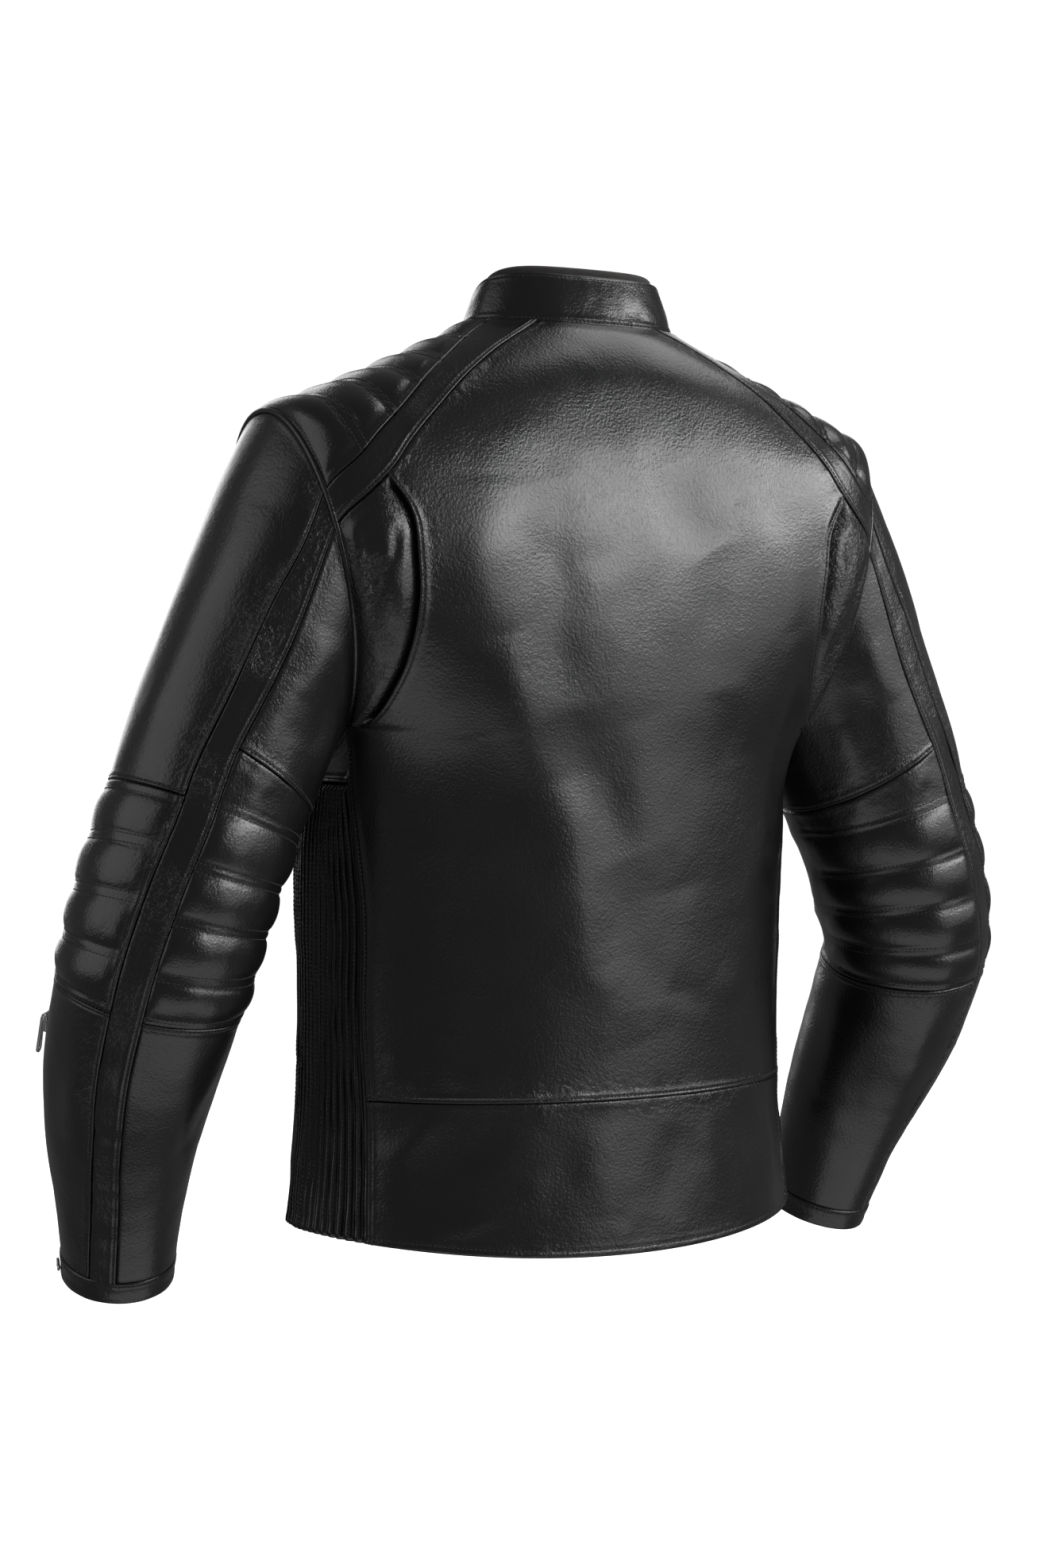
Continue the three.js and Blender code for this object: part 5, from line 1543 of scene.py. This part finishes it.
def make_main_zip():
    make_zip("main_zip", torso, lambda w: (180 + 0 * w, 0.35 + 9.47 * w), 420, 0.0, ("torso",), 1,
             "main_zip")
    f = zip_frame(torso, 180, 0.8, 180, 1.1)
    make_slider("main_slider", *f, 1, ("main_zip_slider",), "main_zip_slider")
    make_pull("main_pull", *f, 1, ("main_zip_pull",), "main_zip_pull", 33)
    height, angle = 17.5, 167.0
    n = normal_at(collar, angle, height)
    centre = collar(np.array([angle]), np.array([height]))[0] + n * (TAB_LIFT + 1.6)
    stud("collar_stud_cap", centre, n, 1, ("collar_tab",), "collar_stud")


# inside


LINING_CLOTH = 0.9  # its thickness


def quilted(sheet, pitch, height):
    """A diamond quilting pattern."""
    a = (sheet.d["w"] + sheet.d["s"]) / pitch
    b = (sheet.d["w"] - sheet.d["s"]) / pitch
    sheet.h += height * (np.abs(np.sin(math.pi * a)) * np.abs(np.sin(math.pi * b))) ** 0.5
    return sheet


def make_inside():
    hold = ("torso",)
    gap = 0.4

    def back_lining(half):
        return lambda s: half * (armhole_angle(s, 1) - gap - np.where(s < ARMHOLE[2], 0, gap))

    back = Sheet(torso, between(back_lining(-1), back_lining(1), 0.12, 9.72), step=6.0, fine="")
    back.h += -13.6 + 9.6 * np.exp(-(back.d["n"] / 16) ** 2) + 9.6 * np.exp(-(back.d["s"] / 12) ** 2)
    quilted(back, 46.0, 1.1)
    lining = make("back_lining", back, hold, ["lining_back"], LINING, thickness=LINING_CLOTH)
    cut_flat(back)
    for suffix, side in (("left", 1), ("right", -1)):
        front = Sheet(torso, between(lambda s: armhole_angle(s, -1) + gap, beside_zip(9.0), 0.12, 9.72),
                      step=6.0, fine="", side=side)
        front.h += -7.8 + 4.4 * np.exp(-(front.d["n"] / 16) ** 2) + 4.4 * np.exp(-(front.d["s"] / 12) ** 2)
        front.h += 3.4 * np.exp(-(front.d["e"] / 10) ** 2)
        quilted(front, 46.0, 0.9)
        lining = make(f"front_lining_{suffix}", front, hold, [f"lining_front_{suffix}"], LINING,
                      thickness=LINING_CLOTH)
        cut_flat(front)
        for name, outside, start, end, kind, nodes in (
                ("sleeve_lining", "sleeve_outer", 0.25, 2.9, "shoulder", [f"sleeve_lining_{suffix}"]),
                ("elbow_lining", "elbow_outer", 2.9, 5.0, "elbow", []),
                ("forearm_lining", "forearm_outer", 5.0, 8.9, f"forearm_{suffix}", [])):
            pipe = Sheet(sleeve, between(lambda t: -89.7 + 0 * t, lambda t: 269.7 + 0 * t, start, end),
                         step=6.0, fine="", side=side, grow=0.5)
            pipe.h += -9.5 + (6.0 * np.exp(-(pipe.d["n"] / 14) ** 2) if end > 8 else 0)
            lining = make(f"{name}_cloth_{suffix}", pipe, hold_of(kind, suffix, side), nodes, LINING,
                          thickness=LINING_CLOTH)
            cut_flat(pipe)
        armour(suffix, side)
    protector = Sheet(torso, lambda u, v: (-27 + 54 * u, 1.9 + 5.6 * v), step=3.5, grow=0.0)
    protector.h += -3.9
    dimpled(protector, 16.0, 1.0)
    make("back_protector_pad", protector, hold, ["back_protector"], FOAM,
         thickness=6.5)
    loop_and_connection()


def dimpled(sheet, pitch, depth):
    """A grid of round dimples in foam, with its edges rounded."""
    a, b = sheet.d["w"] / pitch, sheet.d["s"] / (pitch * 0.87)
    row = np.floor(b)
    x = a + 0.5 * (row % 2)
    r = np.hypot(x - np.floor(x) - 0.5, b - row - 0.5)
    sheet.h -= depth * (1 - smooth(r, 0.18, 0.3))
    for letter in "wesn":
        sheet.h -= 0.44 * rolled(sheet.d[letter], 5.0)


def armour(suffix, side):
    for node, place, kind in (
            ("shoulder_armour", lambda u, v: (-52 + 104 * u, 0.35 + 1.55 * v), "shoulder"),
            ("elbow_armour", lambda u, v: (-25 + 125 * u, 4.3 + 2.0 * v), f"forearm_{suffix}")):
        pad = Sheet(sleeve, place, step=3.5, side=side, grow=0.0)
        pad.h += -3.6
        dimpled(pad, 13.0, 0.8)
        hold = hold_of(kind, suffix, side)
        make(f"{node}_pad_{suffix}", pad, hold, [f"{node}_{suffix}"], FOAM,
             thickness=4.4)


def loop_and_connection():
    w = np.linspace(-1, 1, 60)
    points = np.stack([26 * w, 49.5 + 0 * w, -14 - 13 * (1 - w**4)], -1)
    down = np.gradient(points, axis=0)
    down /= np.linalg.norm(down, axis=1, keepdims=True)
    normal = np.tile([0.0, -1.0, 0.0], (60, 1))
    loop = ribbon("hanger_loop_tape", points, down, normal, 3.4, 0.9, 1)
    finish_piece(loop, TAPE, ("torso",), ["hanger_loop"])
    x = np.linspace(-50, 50, 90)
    points = np.stack([x, 83.4 + 0 * x, -600 + 0 * x], -1)
    down = np.tile([1.0, 0, 0], (90, 1))
    normal = np.tile([0, -1.0, 0], (90, 1))
    tape = ribbon("connection_zip_tape", points, down, normal, 12.6, 0.9, 1)
    finish_piece(tape, TAPE, ("torso",), ["connection_zip"])
    teeth = zip_chain("connection_zip_teeth", points + normal * 0.2, down, normal, 1)
    finish_piece(teeth, STEEL, ("torso",))


# ---------------------------------------------------------------- studio


MIDDLE = -0.33  # the height of the jacket's middle


def aim(obj, target):
    obj.rotation_euler = (Vector(target) - obj.location).to_track_quat("-Z", "Y").to_euler()


def softbox(name, azimuth, elevation, distance, width, height, radiance, roll=0.0):
    """azimuth is measured from behind the jacket (+y) towards its left (+x)."""
    light = bpy.data.lights.new(name, "AREA")
    light.shape = "RECTANGLE"
    light.size, light.size_y = width, height
    light.energy = radiance * math.pi * width * height
    obj = bpy.data.objects.new(name, light)
    a, e = math.radians(azimuth), math.radians(elevation)
    obj.location = (distance * math.sin(a) * math.cos(e), distance * math.cos(a) * math.cos(e),
                    MIDDLE + distance * math.sin(e))
    bpy.context.scene.collection.objects.link(obj)
    aim(obj, (0, 0, MIDDLE))
    obj.rotation_euler.rotate_axis("Z", math.radians(roll))
    return obj


def make_studio():
    scene = bpy.context.scene
    camera_data = bpy.data.cameras.new("camera")
    camera_data.sensor_width = 36
    camera_data.lens = 66.28
    camera = bpy.data.objects.new("camera", camera_data)
    scene.collection.objects.link(camera)
    azimuth, elevation, distance, ahead = math.radians(150), math.radians(0.76), 2.14, -0.045
    camera.location = (distance * math.sin(azimuth) * math.cos(elevation),
                       ahead - distance * math.cos(azimuth) * math.cos(elevation),
                       MIDDLE + distance * math.sin(elevation))
    aim(camera, (0, ahead, MIDDLE))
    scene.camera = camera
    scene.view_settings.view_transform = "Standard"

    softbox("broad_softbox", -43, 7, 2.4, 2.35, 1.3, 1.35, roll=20)
    softbox("broad_upper_softbox", -44, 20.0, 2.3, 2.2, 0.4, 9.5, roll=14)
    softbox("side_softbox", 95, 18, 2.2, 2.0, 2.2, 0.9)
    softbox("fill_softbox", 0, -52, 2.4, 3.6, 1.8, 0.8)
    softbox("front_softbox", 184, 16, 2.6, 1.0, 1.8, 2.2)
    softbox("front_far_softbox", -140, 12, 2.6, 0.7, 1.8, 1.3)
    softbox("top_softbox", -80, 60, 2.0, 1.2, 1.0, 2.4)

    world = bpy.data.worlds.new("studio_room")
    world.use_nodes = True
    background = world.node_tree.nodes["Background"]
    background.inputs["Color"].default_value = (1, 1, 1, 1)
    background.inputs["Strength"].default_value = 0.13
    scene.world = world

    size, z = 30.0, -0.86
    floor = bpy.data.meshes.new("floor")
    corners = [(-size, -size, z), (size, -size, z), (size, size, z), (-size, size, z)]
    floor.from_pydata(corners, [], [(0, 1, 2, 3)])
    dome = bpy.data.meshes.new("backdrop_dome")
    around = np.radians(np.arange(0, 360, 10))
    rings = [(size * math.cos(e) * math.sin(a), size * math.cos(e) * math.cos(a), size * math.sin(e))
             for e in np.radians(np.arange(-10, 91, 10)) for a in around]
    index = np.arange(len(rings)).reshape(-1, len(around))
    after = np.roll(index, -1, 1)
    quads = np.stack([index[:-1], after[:-1], after[1:], index[1:]], -1).reshape(-1, 4)
    dome.from_pydata(rings, [], quads.tolist())
    white = backdrop_paper("backdrop_paper", 1.0)
    for mesh, material in ((floor, backdrop_paper("floor_paper", 0.97)), (dome, white)):
        obj = bpy.data.objects.new(mesh.name, mesh)
        scene.collection.objects.link(obj)
        obj.visible_glossy = obj.visible_diffuse = obj.visible_shadow = False
        mesh.materials.append(material)


def backdrop_paper(name, glow):
    paper = Nodes(name)
    paper.set(Base_Color=paper.colour(paper.noise(3.0), (0.86, 0.86, 0.86), (0.9, 0.9, 0.9)), Roughness=0.9)
    paper.set(Emission_Color=(1, 1, 1, 1), Emission_Strength=glow)
    return paper.material


make_back()
for SUFFIX, SIDE in (("left", 1), ("right", -1)):
    make_torso_side(SUFFIX, SIDE)
    make_armhole_piping(SUFFIX, SIDE)
    make_sleeve(SUFFIX, SIDE)
    make_zips(SUFFIX, SIDE)
make_collar()
make_main_zip()
make_inside()
make_studio()
